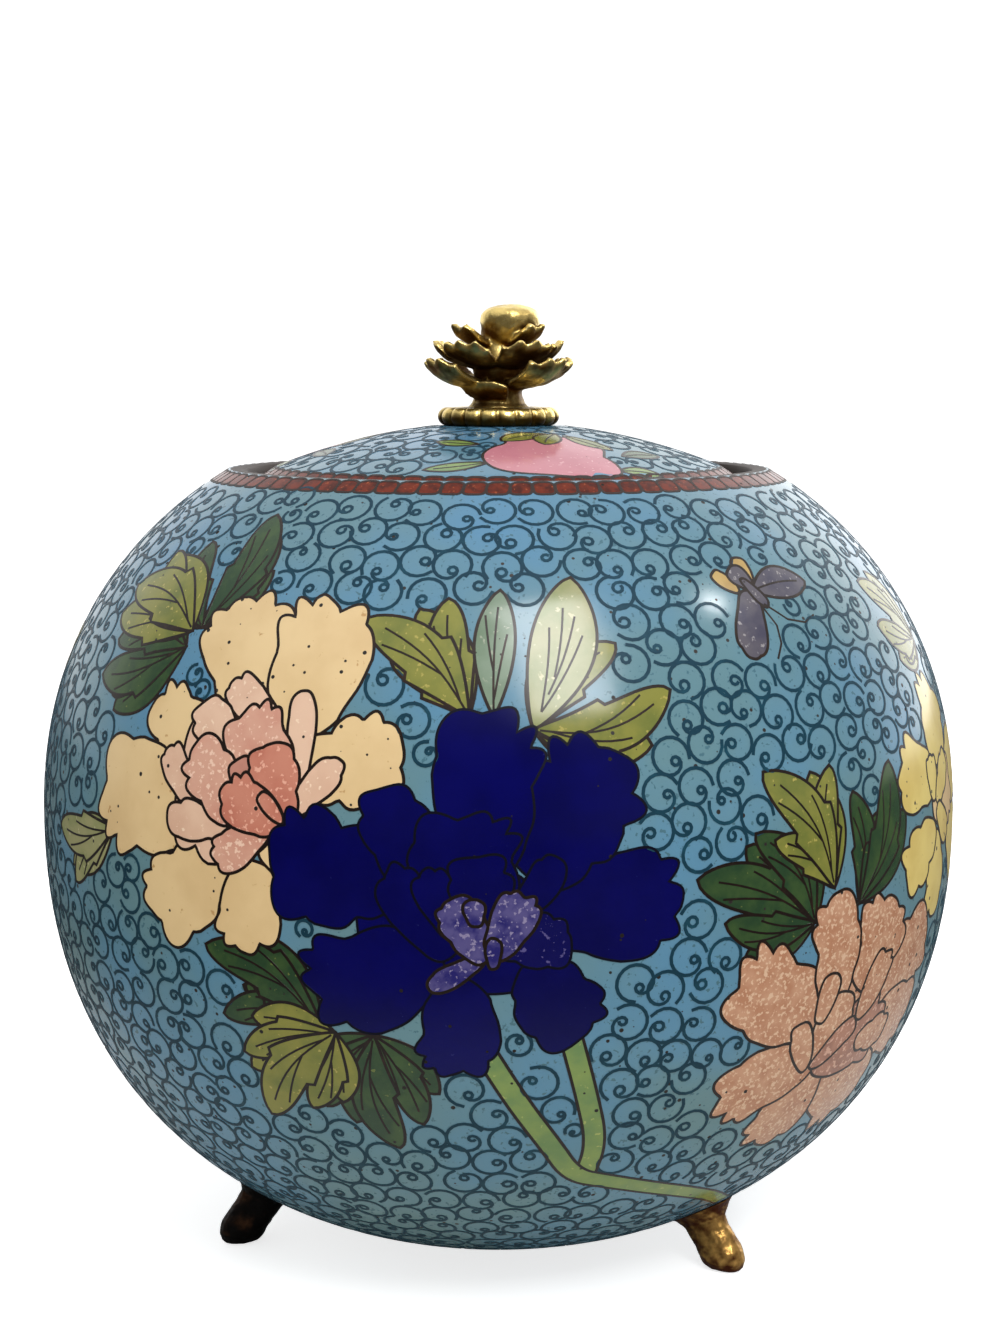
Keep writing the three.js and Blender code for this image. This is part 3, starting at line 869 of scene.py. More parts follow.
# %% Peach sprays and the border scales
SPRAYS = 3
PEACH = ((6.4, -12.8), (6.6, -27.9), 16.6)
CALYX = [((6, -11.8), (0.4, -16.6), 3.6), ((8, -11.8), (13.8, -16), 3), ((7, -11.4), (5.6, -17.4), 3.4)]
LID_LEAVES = [
    ("stem_green", (-1.2, -24.6), (-8.8, -25.4), 2.3),
    ("stem_green", (-2.4, -18), (-7.4, -15.4), 2.4),
    ("stem_green", (14.4, -23.4), (19.4, -21.4), 2.4),
    ("dark_green", (15, -17.8), (19.6, -13.4), 2.6),
]
BORDER_SCALES = 72
BORDER_LEAN = (-0.1, 0.1)
BORDER_INSET = 0.05
SPRAY_BEND = 0.05
lid_shapes = []
for number in range(SPRAYS):
    angle = number * 2 * math.pi / SPRAYS
    for colour, base, tip, width in LID_LEAVES:
        base, tip = turned_about([base, tip], angle)
        lid_shapes += leaflet(colour, base, tip, width, SPRAY_BEND, 0, MIDRIB, flat=True)
    base, tip = turned_about(PEACH[:2], angle)
    lid_shapes.append(cell(petal_outline(base, tip, PEACH[2], 1), "peach_pink"))
    for base, tip, width in CALYX:
        base, tip = turned_about([base, tip], angle)
        lid_shapes += leaflet("olive", base, tip, width, -SPRAY_BEND, 0, MIDRIB, flat=True)
border_scales = []
for number in range(BORDER_SCALES):
    angle = number * 2 * math.pi / BORDER_SCALES
    width = 2 * math.pi * (LID_RADIUS - BORDER_WIDTH / 2) / BORDER_SCALES * rng.uniform(*SCALE_UNEVEN)
    shape = scale_outline(width, BORDER_WIDTH - SCALE_WIRE, rng.uniform(*BORDER_LEAN))
    shape = turned_about(shape + [0, BORDER_WIDTH / 2 - LID_RADIUS + BORDER_INSET], angle)
    border_scales.append(cell(shape, "scale_red", None, SCALE_WIRE, "scale_wire"))
lid_cells = inlaid("lid", lid_place, [lid_shapes])
lid_cells |= inlaid("lid", lid_place, [border_scales], SCALE_GRID_STEP)
print("lid cells:", {colour: len(piece.data.polygons) for colour, piece in lid_cells.items()})

# %% [markdown]
# ## Scroll wires
# The ground is filled with little wire scrolls. They are not there for show alone: they hold the glass
# while it melts. Each is one short wire bent to a wide arc that tightens into a curl, so the lesson bends
# it the same way, by walking along with a radius that shrinks. Some sixteen hundred lie side by side
# without crossing, and a packing of discs finds their places: discs push each other and the picture's edge
# away until all have room.

# %% Bending one scroll
SCROLL_RADIUS = 2.15
CURL_RADIUS = 0.46
SCROLL_WIRE = 0.4
SCROLL_STATIONS = 26
ARC_TURN = math.radians(220)
CURL_START = math.radians(450)
SCROLL_TURN = math.radians(720)
SCROLL_UNEVEN = (0.92, 1.04)
CURL_UNEVEN = (0.85, 1.25)
CURL_TIGHTENING = 0.8
TAIL_TURN = math.radians(40)
TAIL_STRETCH = 0.4
WALK_STEPS = 500


def scroll_route(size, turn, hand):
    """A scroll about its own middle in mm: a wide arc that tightens into a small curl."""
    turned = np.linspace(0, SCROLL_TURN * rng.uniform(*SCROLL_UNEVEN), WALK_STEPS)
    share = np.clip((turned - ARC_TURN) / (CURL_START - ARC_TURN), 0, 1)
    curl = CURL_RADIUS * rng.uniform(*CURL_UNEVEN)
    bend = SCROLL_RADIUS + (curl - SCROLL_RADIUS) * share**CURL_TIGHTENING
    tail = 1 + TAIL_STRETCH * np.clip(1 - turned / TAIL_TURN, 0, 1)
    step = np.diff(turned, prepend=0) * bend * tail
    route = np.column_stack([np.cumsum(step * np.cos(turned)), np.cumsum(step * np.sin(turned))])
    weight = np.cumsum(np.sqrt(bend))
    order = np.arange(WALK_STEPS)
    stations = np.interp(np.linspace(weight[0], weight[-1], SCROLL_STATIONS + 1), weight, order)
    arc = route[turned < ARC_TURN]
    middle = (arc.min(axis=0) + arc.max(axis=0)) / 2
    route = np.column_stack([np.interp(stations, order, line) for line in (route - middle).T])
    return turned_about(route, turn) * size / SCROLL_RADIUS * [hand, 1]


sample = scroll_route(SCROLL_RADIUS, 0, 1)
print("a scroll measures", np.round(sample.max(axis=0) - sample.min(axis=0), 2), "mm")

# %% Packing the scrolls
SMALLEST_SCROLL = 0.95
PACKING_ROUNDS = 30
LARGEST_SCROLL = SCROLL_RADIUS * 1.04
GAP_TRIES = 6000
PUSH_SHARE = 0.3
EDGE_PUSH_SHARE = 0.7
PROBE = 0.05
FAR_OFF = 99
TRY_MARGIN = 2


def chart_moves(place_on, chart, push):
    """Chart steps that move places on a surface by pushes in mm."""
    place, _ = place_on(chart)
    moves = []
    for step in ([PROBE, 0], [0, PROBE]):
        along = (place_on(chart + step)[0] - place) / PROBE
        moves.append((push * along).sum(axis=1) / (along**2).sum(axis=1))
    return np.column_stack(moves)


def clearance(tree, places):
    """Distance in mm from places to the nearest point of the picture's edge, and the way from it."""
    nearest = np.array([tree.find(place)[0] for place in places])
    away = places - nearest
    distance = np.linalg.norm(away, axis=1)
    return distance, away / np.maximum(distance, 1e-6)[:, None]


def outside_all(chart, shapes):
    """True where a chart point lies in none of the shapes."""
    taken = np.zeros(len(chart), bool)
    for shape in shapes:
        taken |= inside(chart, shape["wire"])
    return ~taken


def gaps_between(places):
    """The ways from each place to each other one, and their lengths, with each place far off from itself."""
    ways = places[:, None] - places[None]
    return ways, np.linalg.norm(ways, axis=2) + np.eye(len(places)) * FAR_OFF


def pack_scrolls(place_on, seeds, shapes, limits):
    """Chart places and radii of scrolls that fill a surface round the shapes. limits keeps them in range."""
    edge = np.concatenate([place_on(shape["wire"])[0] for shape in shapes])
    tree = kdtree.KDTree(len(edge))
    for index, place in enumerate(edge):
        tree.insert(place, index)
    tree.balance()
    seeds = seeds[outside_all(seeds, shapes)]
    seeds = seeds[clearance(tree, place_on(seeds)[0])[0] > SMALLEST_SCROLL]
    for _ in range(PACKING_ROUNDS):
        places, _ = place_on(seeds)
        ways, distance = gaps_between(places)
        overlap = np.clip(2 * SCROLL_RADIUS - distance, 0, None)
        push = (ways * (overlap / distance)[:, :, None]).sum(axis=1) * PUSH_SHARE
        room, away = clearance(tree, places)
        push += away * np.clip(SCROLL_RADIUS - room, 0, None)[:, None] * EDGE_PUSH_SHARE
        moved_on = limits(seeds + chart_moves(place_on, seeds, push), SCROLL_RADIUS)
        stay = ~outside_all(moved_on, shapes)
        moved_on[stay] = seeds[stay]
        seeds = moved_on
    places, _ = place_on(seeds)
    room, _ = clearance(tree, places)
    size = np.minimum(gaps_between(places)[1].min(axis=1) / 2, room)
    size = np.minimum(size, LARGEST_SCROLL)
    kept = size > SMALLEST_SCROLL
    return fill_gaps(place_on, seeds[kept], size[kept], tree, shapes, limits)


def fill_gaps(place_on, chart, size, tree, shapes, limits):
    """Adds smaller scrolls in the gaps that the packing left, the widest first."""
    low, high = chart.min(axis=0), chart.max(axis=0)
    tries = limits(rng.uniform(low - TRY_MARGIN, high + TRY_MARGIN, (GAP_TRIES, 2)), SMALLEST_SCROLL)
    tries = tries[outside_all(tries, shapes)]
    places, _ = place_on(tries)
    room = clearance(tree, places)[0]
    for place, radius in zip(place_on(chart)[0], size):
        room = np.minimum(room, np.linalg.norm(places - place, axis=1) - radius)
    while room.max() > SMALLEST_SCROLL:
        best = int(room.argmax())
        radius = min(room[best], SCROLL_RADIUS)
        chart = np.concatenate([chart, tries[best : best + 1]])
        size = np.append(size, radius)
        room = np.minimum(room, np.linalg.norm(places - places[best], axis=1) - radius)
    return chart, size


print("packing ready, scrolls from", SMALLEST_SCROLL, "to", SCROLL_RADIUS, "mm in radius")

# %% Scrolls on the body and the lid
ROW_PITCH = 3.75
SCROLL_LIFT = 0.028
WIRE_FOOT = 0.22
SEED_SCATTER = 0.35
UNDER_COLLAR = 0.6
FROM_FACES = np.zeros(3)


def scroll_wires(name, place_on, chart, size, narrowing):
    """All scrolls of a surface as one piece. Each wire is a flat top on a keel, so it has few faces."""
    stations = SCROLL_STATIONS + 1
    last = SCROLL_STATIONS
    places, faces, directions = [], [], []
    for number, ((u, v), radius) in enumerate(zip(chart, size)):
        route = scroll_route(radius, rng.uniform(0, 2 * math.pi), rng.choice([-1, 1]))
        way = unit(np.gradient(route, axis=0))
        side = np.column_stack([way[:, 1], -way[:, 0]]) * SCROLL_WIRE / 2
        lines = []
        for line in (route - side, route + side, route):
            height = v + line[:, 1]
            lines.append(np.column_stack([u + line[:, 0] * narrowing(height), height]))
        top, out = place_on(np.concatenate(lines[:2]))
        keel, keel_out = place_on(lines[2])
        places += [top + out * SCROLL_LIFT, keel - keel_out * WIRE_FOOT]
        start = number * 3 * stations
        for step in range(SCROLL_STATIONS):
            left, right, low = start + step, start + stations + step, start + 2 * stations + step
            faces.append((left, right, right + 1, left + 1))
            faces.append((right, low, low + 1, right + 1))
            faces.append((low, left, left + 1, low + 1))
            directions += [out[step], out[stations + step], out[stations + step + 1], out[step + 1]]
            directions += [FROM_FACES] * 8
        left, right, low = start, start + stations, start + 2 * stations
        faces.append((left, low, right))
        faces.append((right + last, low + last, left + last))
        directions += [FROM_FACES] * 6
    piece = new_piece(name, np.concatenate(places), faces)
    piece.data.normals_split_custom_set(np.array(directions).tolist())
    return piece


band_foot = BODY_TOP - BAND_WIDTH


def body_limits(chart, radius):
    """Keeps chart places between the base and the band of scales."""
    chart = chart.copy()
    chart[:, 1] = np.clip(chart[:, 1], BODY_FOOT + radius, band_foot - radius)
    return chart


def lid_limits(chart, radius):
    """Keeps places between the collar and the lid's border."""
    distance = np.maximum(np.hypot(*chart.T), 1e-6)
    wanted = np.clip(distance, COLLAR_SEAT_RADIUS + radius * UNDER_COLLAR, BORDER_INNER - radius)
    return chart * (wanted / distance)[:, None]


def per_round(radius):
    """How many scrolls side by side go round a ring of a radius in mm."""
    return int(2 * math.pi * radius / (2 * SCROLL_RADIUS))


body_seeds = []
for row, v in enumerate(np.arange(BODY_FOOT + SCROLL_RADIUS, band_foot - SCROLL_RADIUS, ROW_PITCH)):
    in_row = per_round(radius_at(v))
    turns = (np.arange(in_row) + 0.5 * (row % 2)) / in_row - 0.5
    body_seeds.append(np.column_stack([turns * 2 * math.pi * BELLY, np.full(in_row, v)]))
body_seeds = np.concatenate(body_seeds)
body_seeds = body_limits(body_seeds + rng.normal(0, SEED_SCATTER, body_seeds.shape), SCROLL_RADIUS)
body_shapes = [shape for group in picture for shape in group]
scroll_chart, scroll_size = pack_scrolls(body_place, body_seeds, body_shapes, body_limits)
above_belly = scroll_chart[:, 1] > 0
body_scrolls = [
    scroll_wires(name, body_place, scroll_chart[half], scroll_size[half], lambda v: BELLY / radius_at(v))
    for name, half in (("upper_scroll_wires", above_belly), ("lower_scroll_wires", ~above_belly))
]
lid_seeds = []
for radius in np.arange(BORDER_INNER - SCROLL_RADIUS, COLLAR_SEAT_RADIUS, -ROW_PITCH):
    in_ring = per_round(radius)
    turns = (np.arange(in_ring) + rng.uniform()) / in_ring * 2 * math.pi
    lid_seeds.append(np.column_stack([np.cos(turns), np.sin(turns)]) * radius)
lid_chart, lid_size = pack_scrolls(lid_place, np.concatenate(lid_seeds), lid_shapes, lid_limits)
lid_scrolls = scroll_wires("lid_scroll_wires", lid_place, lid_chart, lid_size, lambda height: 1.0)
print("scrolls:", len(scroll_size), "on the body,", len(lid_size), "on the lid")

# %% [markdown]
# ## The cast knob
# The knob is a lost-wax casting: an open flower of thin ruffled petals round a bud, on a short stem that
# stands on a lobed collar. Its petals are plates bent out of grids of points, with their edges in small
# ruffles. They are then melted into one skin with the stem and the bud, by a voxel remesh, which also
# rounds every edge a little, as wax and molten metal do. The collar is a turned ring, and drawing its edge in
# at even steps gives it the lobes.

# %% Petal plates
collar_low, collar_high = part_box("finial_collar")
flower_low, flower_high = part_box("finial_flower")
COLLAR_TOP = flower_low.z / MM
FLOWER_HEIGHT = (flower_high.z - flower_low.z) / MM
FLOWER_SPREAD = 9.5
PLATE_THICKNESS = 0.85
PLATE_ALONG = 18
PLATE_ACROSS = 28
KNOB_VOXEL = 0.19
ROOT_BREADTH = 0.35
CORNER_DROP = 0.2
RUFFLE_LEAN = 0.4
RUFFLE_OUT = 0.045
RUFFLE_UP = 0.03
RUFFLE_SIDE = 0.04
NOTCH_DEPTH = 0.05
NOTCH_WIDTH = 0.6
CUP_INWARDS = 0.8
CUP_UPWARDS = 0.3


def petal_plate(turn, root, tip, breadth, cup, ruffles, ruffle_size=1.0):
    """A petal that leaves the stem outwards and turns up. root and tip are shares of spread and height."""
    lengthwise, crosswise = np.linspace(0, 1, PLATE_ALONG + 1), np.linspace(-1, 1, PLATE_ACROSS + 1)
    along, across = np.meshgrid(lengthwise, crosswise, indexing="ij")
    swing = along * (1 - CORNER_DROP * np.abs(across) ** 3) * math.pi / 2
    shift = rng.uniform(-RUFFLE_LEAN, RUFFLE_LEAN)
    outline = (ROOT_BREADTH + (1 - ROOT_BREADTH) * np.sin(along * math.pi / 2)) * breadth * FLOWER_SPREAD / 2
    wave = np.cos((across + shift) * math.pi * ruffles) * along**3 * ruffle_size
    notch = np.abs(np.sin((across + shift) * math.pi * ruffles / 2 + RUFFLE_LEAN)) ** NOTCH_WIDTH
    lift = cup * across**2
    reach = root[0] + (tip[0] - root[0]) * np.sin(swing) - lift * CUP_INWARDS + RUFFLE_OUT * wave
    reach = reach - NOTCH_DEPTH * (1 - notch) * along**4 * ruffle_size
    height = root[1] + (tip[1] - root[1]) * (1 - np.cos(swing)) + lift * CUP_UPWARDS + RUFFLE_UP * wave
    height = height - NOTCH_DEPTH * (1 - notch) * along**5 * ruffle_size
    x = across * outline * (1 + RUFFLE_SIDE * wave)
    y = -reach * FLOWER_SPREAD
    z = height * FLOWER_HEIGHT + COLLAR_TOP
    cosine, sine = math.cos(math.radians(turn)), math.sin(math.radians(turn))
    places = np.stack([x * cosine - y * sine, x * sine + y * cosine, z], axis=-1).reshape(-1, 3)
    width = PLATE_ACROSS + 1
    corners = [row * width + column for row in range(PLATE_ALONG) for column in range(PLATE_ACROSS)]
    faces = [(first, first + 1, first + width + 1, first + width) for first in corners]
    piece = new_piece("petal", places, faces)
    apply_modifier(piece, "SOLIDIFY", thickness=PLATE_THICKNESS * MM, offset=0)
    return piece


def apply_modifier(piece, kind, **settings):
    """Adds a modifier with its settings and applies it."""
    select_only(piece)
    bpy.ops.object.modifier_add(type=kind)
    modifier = piece.modifiers[-1]
    for name, value in settings.items():
        setattr(modifier, name, value)
    bpy.ops.object.modifier_apply(modifier=modifier.name)


def joined(pieces, name):
    """Joins pieces into one mesh of that name."""
    bpy.ops.object.select_all(action="DESELECT")
    for piece in pieces:
        piece.select_set(True)
    bpy.context.view_layer.objects.active = pieces[0]
    bpy.ops.object.join()
    pieces[0].name = name
    pieces[0].data.name = name
    return pieces[0]


print("collar top at", round(COLLAR_TOP, 2), "mm, flower", round(FLOWER_HEIGHT, 2), "mm tall")

# %% The flower in one skin
OUTER = dict(root=(0.2, 0.2), tip=(0.98, 0.47), breadth=0.78, cup=0.12, ruffles=3)
MIDDLE = dict(root=(0.16, 0.4), tip=(0.82, 0.64), breadth=0.72, cup=0.08, ruffles=3)
INNER = dict(root=(0.1, 0.6), tip=(0.62, 0.8), breadth=0.5, cup=0.08, ruffles=2)
LOW_LEAF = dict(root=(0.12, 0.08), tip=(0.5, 0.26), breadth=0.66, cup=0.05, ruffles=1, ruffle_size=0.3)
BUD_ACROSS = 0.16 * FLOWER_SPREAD
BUD_HEIGHT = COLLAR_TOP + 0.84 * FLOWER_HEIGHT
BUD_RADIUS = 0.4 * FLOWER_SPREAD
BUD_STEPS = 24
BUD_FULLNESS = 2.6
STEM_RADIUS = 3.0
STEM_FLARE = 1.0
KNOB_STEPS = 48
SOFTENING = 0.5

plates = [petal_plate(turn, **OUTER) for turn in (-62, 50, 112, 174, -122)]
plates += [petal_plate(turn, **MIDDLE) for turn in (-36, 30, 88, 146, -154, -98)]
plates += [petal_plate(turn, **INNER) for turn in (-62, 56, 168)]
plates += [petal_plate(-24, **LOW_LEAF)]
bud_outline = []
for angle in np.linspace(0, math.pi, BUD_STEPS + 1):
    reach = BUD_RADIUS * abs(math.sin(angle)) ** (2 / BUD_FULLNESS)
    below = -BUD_RADIUS * 0.96 * math.cos(angle)
    above = FLOWER_HEIGHT * 0.16 * max(-math.cos(angle), 0) ** (2 / BUD_FULLNESS)
    bud_outline.append((reach, above if angle > math.pi / 2 else below))
bud_outline[0] = (0, bud_outline[0][1])
bud_outline[-1] = (0, bud_outline[-1][1])
bud = spun("bud", bud_outline, KNOB_STEPS)
bud.data.transform(Matrix.Translation((BUD_ACROSS * MM, 0, BUD_HEIGHT * MM)))
stem_outline = [
    (0, 0),
    (STEM_RADIUS + STEM_FLARE, 0),
    (STEM_RADIUS + STEM_FLARE * 0.4, 0.5),
    (STEM_RADIUS, 1.6),
    (STEM_RADIUS * 0.98, 3),
    (STEM_RADIUS * 1.1, 4.6),
    (STEM_RADIUS * 0.8, 8),
    (STEM_RADIUS * 0.7, 11),
    (0, 11),
]
knob_stem = spun("knob_stem", [(radius, height + COLLAR_TOP) for radius, height in stem_outline], KNOB_STEPS)
finial_flower = joined([*plates, bud, knob_stem], "knob_flower")
apply_modifier(finial_flower, "REMESH", mode="VOXEL", voxel_size=KNOB_VOXEL * MM)
apply_modifier(finial_flower, "SMOOTH", factor=SOFTENING, iterations=3)
print("knob_flower:", len(finial_flower.data.polygons), "faces")

# %% The lobed collar
COLLAR_RADIUS = 7.8
COLLAR_LOBES = 20
COLLAR_LOBE_DEPTH = 0.5
COLLAR_SIDE_STEPS = 18
COLLAR_STEPS = 240
COLLAR_BASE = collar_low.z / MM
COLLAR_HALF = (collar_high.z - collar_low.z) / MM / 2
COLLAR_FLAT = COLLAR_RADIUS - COLLAR_HALF
bulge = np.linspace(-math.pi / 2, math.pi / 2, COLLAR_SIDE_STEPS + 1)
side = [
    (COLLAR_FLAT + COLLAR_HALF * math.cos(angle), COLLAR_BASE + COLLAR_HALF * (1 + math.sin(angle)))
    for angle in bulge
]
collar_outline = [(0, COLLAR_BASE), (COLLAR_FLAT * 0.6, COLLAR_BASE), *side]
collar_outline += [(radius, side[-1][1]) for radius in (COLLAR_FLAT * 0.8, STEM_RADIUS, 0)]
knob_collar = spun("knob_collar", collar_outline, COLLAR_STEPS)
for vertex in knob_collar.data.vertices:
    x, y = vertex.co.x / MM, vertex.co.y / MM
    radius = math.hypot(x, y)
    groove = (1 - abs(math.sin(math.atan2(y, x) * COLLAR_LOBES / 2))) ** 2
    near_rim = min(max((radius - COLLAR_FLAT + COLLAR_HALF) / (2 * COLLAR_HALF), 0), 1)
    drawn_in = 1 - COLLAR_LOBE_DEPTH / COLLAR_RADIUS * groove * near_rim
    vertex.co.x *= drawn_in
    vertex.co.y *= drawn_in
select_only(knob_collar)
bpy.ops.object.shade_smooth()
print("knob_collar:", len(knob_collar.data.polygons), "faces")

# %% [markdown]
# ## The cast feet
# Each foot is a small casting: a stub that flares where it meets the belly and swings out to a rounded toe.
# Rings of points are stacked from the sole to the belly, because they can follow the curve above them. A
# voxel remesh gives them one fine and even skin, smoothing rounds it, and noise roughens it as a mould does.

# %% Feet from stacked rings
FOOT_CIRCLE = 32.0
FOOT_TOE_REACH = 3.1
FOOT_LENGTH = 6.0
FOOT_BREADTH = 4.8
FOOT_CAP_FLARE = 1.0
FOOT_SEAM = 0.1
FOOT_SEGMENTS = 24
FOOT_VOXEL = 0.12
FOOT_ROUGHNESS = 0.09
FOOT_GRAIN = 900
FOOT_TURNS = {"foot_right": 53, "foot_left": -70, "foot_back": 171}
FOOT_SECTIONS = [
    (0.0, 1.12, 0.6, 0.5, 0.0),
    (0.035, 1.08, 0.82, 0.76, 0.0),
    (0.12, 1.02, 0.97, 0.95, 0.0),
    (0.26, 0.9, 1.0, 1.0, 0.0),
    (0.42, 0.62, 0.96, 0.96, 0.0),
    (0.6, 0.33, 0.9, 0.9, 0.0),
    (0.78, 0.1, 0.93, 0.92, 0.0),
    (0.92, 0.01, 1.02, 1.02, 0.35),
    (1.0, 0.0, 1.0, 1.0, 1.0),
]


def underside(radius):
    """Height of the belly's underside in mm at a radius, below the belly's widest ring."""
    lower = chart_rise < 0
    return np.interp(radius, chart_radius[lower], chart_height[lower])


def foot(name, turn):
    """One foot at its turn from the front, seen from above."""
    places = []
    angles = np.linspace(0, 2 * math.pi, FOOT_SEGMENTS, endpoint=False)
    for rise, swing, length, breadth, flare in FOOT_SECTIONS:
        out = FOOT_CIRCLE + swing * FOOT_TOE_REACH
        out = out + (length * FOOT_LENGTH / 2 + flare * FOOT_CAP_FLARE) * np.cos(angles)
        side = (breadth * FOOT_BREADTH / 2 + flare * FOOT_CAP_FLARE) * np.sin(angles)
        ceiling = underside(np.hypot(out, side)) - FOOT_SEAM
        places.append(np.column_stack([out, side, rise * ceiling]))
    rings = len(places)
    faces = [tuple(range(FOOT_SEGMENTS))[::-1]]
    for ring in range(rings - 1):
        for step in range(FOOT_SEGMENTS):
            low = ring * FOOT_SEGMENTS + step
            after = ring * FOOT_SEGMENTS + (step + 1) % FOOT_SEGMENTS
            faces.append((low, after, after + FOOT_SEGMENTS, low + FOOT_SEGMENTS))
    faces.append(tuple((rings - 1) * FOOT_SEGMENTS + step for step in range(FOOT_SEGMENTS)))
    piece = new_piece(name + "_casting", np.concatenate(places), faces)
    apply_modifier(piece, "REMESH", mode="VOXEL", voxel_size=FOOT_VOXEL * MM)
    apply_modifier(piece, "SMOOTH", factor=SOFTENING, iterations=6)
    roughen(piece, FOOT_ROUGHNESS, FOOT_GRAIN)
    select_only(piece)
    bpy.ops.object.shade_smooth()
    bpy.ops.transform.rotate(value=math.radians(90 - turn), orient_axis="Z", center_override=(0, 0, 0))
    bpy.ops.object.transform_apply(location=True, rotation=True, scale=True)
    return piece


def roughen(piece, depth, scale, floor_height=0.2):
    """Moves a casting's skin in and out a little, as its mould left it. Points at its foot stay there."""
    before = [(vertex.co.copy(), vertex.normal.copy()) for vertex in piece.data.vertices]
    for vertex, (place, out) in zip(piece.data.vertices, before):
        if place.z > floor_height * MM:
            rise = noise.noise(place * scale) + 0.5 * noise.noise(place * scale * 2.3)
            vertex.co = place + out * rise * depth * MM


KNOB_ROUGHNESS = 0.1
KNOB_GRAIN = 620
roughen(finial_flower, KNOB_ROUGHNESS, KNOB_GRAIN, COLLAR_TOP + 0.4)
select_only(finial_flower)
bpy.ops.object.shade_smooth()
feet = {name: foot(name, turn) for name, turn in FOOT_TURNS.items()}
for name, piece in feet.items():
    cad_low, cad_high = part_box(name)
    for box in ((*piece.bound_box[0], *piece.bound_box[6]), (*cad_low, *cad_high)):
        print(name, [round(value / MM, 1) for value in box])

# %% [markdown]
# ## Enamel
# Enamel is coloured glass: even from far off, but close to it each colour is a little cloudy, holds specks,
# and is dotted with pinholes where gas came up in the kiln and dirt has settled. The polish is worn to a
# soft gloss. One node group makes the clouds, specks and pits, and every colour uses it with its own
# values.

# %% The enamel group


def srgb(red, green, blue):
    """A colour given as 0 to 255, as a screen shows it, in the linear values that shaders use."""
    values = np.array([red, green, blue]) / 255
    linear = np.where(values <= 0.04045, values / 12.92, ((values + 0.055) / 1.055) ** 2.4)
    return (*linear, 1)


def add_node(tree, kind, inputs=(), **settings):
    """A node with its settings, and its inputs as values or as sockets to link."""
    node = tree.nodes.new(kind)
    for name, value in settings.items():
        setattr(node, name, value)
    for name, value in dict(inputs).items():
        if isinstance(value, bpy.types.NodeSocket):
            tree.links.new(value, node.inputs[name])
        else:
            node.inputs[name].default_value = value
    return node


def node_group(name, inputs, outputs):
    """An empty shader group with its sockets, its input node and its output node."""
    group = bpy.data.node_groups.new(name, "ShaderNodeTree")
    for side, sockets in (("INPUT", inputs), ("OUTPUT", outputs)):
        for socket, kind in sockets.items():
            group.interface.new_socket(socket, in_out=side, socket_type="NodeSocket" + kind)
    return group, group.nodes.new("NodeGroupInput").outputs, group.nodes.new("NodeGroupOutput")


def mixed(tree, factor, first, second):
    """The socket of a colour mix."""
    node = add_node(tree, "ShaderNodeMix", data_type="RGBA", clamp_factor=True)
    for slot, value in ((0, factor), (6, first), (7, second)):
        if isinstance(value, bpy.types.NodeSocket):
            tree.links.new(value, node.inputs[slot])
        else:
            node.inputs[slot].default_value = value
    return node.outputs[2]


def ramped(tree, value, low, high, to_low=0.0, to_high=1.0):
    """The socket of a value mapped from one range to another, held at both ends."""
    inputs = {"Value": value, "From Min": low, "From Max": high, "To Min": to_low, "To Max": to_high}
    return add_node(tree, "ShaderNodeMapRange", inputs, interpolation_type="SMOOTHSTEP").outputs["Result"]


def math_node(tree, operation, first, second):
    """The socket of a sum, product or other operation on two values."""
    return add_node(tree, "ShaderNodeMath", {0: first, 1: second}, operation=operation).outputs[0]


def noise_at(tree, scale, detail):
    """The socket of a noise on the object's own places, with a scale per metre."""
    where = add_node(tree, "ShaderNodeTexCoord").outputs["Object"]
    inputs = {"Vector": where, "Scale": scale, "Detail": detail}
    return add_node(tree, "ShaderNodeTexNoise", inputs).outputs[0]


PIT_SCALE = 760.0
PIT_SIZES = (0.07, 0.2)
PIT_COLOUR = (30, 24, 20)
PIT_ROUGHNESS = 0.4
PIT_CHANCES = (0.2, 1.0)
CLOUD_EDGES = (0.35, 0.68)
SPECK_LEVEL = 0.78
SPECK_SOFTNESS = 0.06
NO_SPECKS = 0.001
WEAR_EDGES = (0.3, 0.7)
GLOSS = (0.14, 0.23)
WEAR_SCALE = 60.0
RIPPLE_SCALE = 130.0
RIPPLE_SHARE = 0.35
ENAMEL_INPUTS = {
    "Glass": "Color",
    "Cloud": "Color",
    "Speck": "Color",
    "Cloud Scale": "Float",
    "Speck Scale": "Float",
    "Speck Share": "Float",
    "Pit Share": "Float",
}
FINISH = {"Color": "Color", "Roughness": "Float", "Height": "Float"}
enamel, given, put_out = node_group("enamel", ENAMEL_INPUTS, FINISH)
cloud = noise_at(enamel, given["Cloud Scale"], 5)
colour = mixed(enamel, ramped(enamel, cloud, *CLOUD_EDGES), given["Glass"], given["Cloud"])
grain = noise_at(enamel, given["Speck Scale"], 3)
edge = math_node(enamel, "SUBTRACT", SPECK_LEVEL, math_node(enamel, "MULTIPLY", given["Speck Share"], 0.5))
speck = ramped(enamel, grain, edge, math_node(enamel, "ADD", edge, SPECK_SOFTNESS))
has_specks = math_node(enamel, "GREATER_THAN", given["Speck Share"], NO_SPECKS)
speck = math_node(enamel, "MULTIPLY", speck, has_specks)
colour = mixed(enamel, speck, colour, given["Speck"])
where = add_node(enamel, "ShaderNodeTexCoord").outputs["Object"]
pits = {"Vector": where, "Scale": PIT_SCALE, "Randomness": 1.0}
pits = add_node(enamel, "ShaderNodeTexVoronoi", pits).outputs
chance = add_node(enamel, "ShaderNodeSeparateColor", {"Color": pits["Color"]}).outputs
size = ramped(enamel, chance[1], *PIT_CHANCES, *PIT_SIZES)
wanted = math_node(enamel, "LESS_THAN", chance[0], given["Pit Share"])
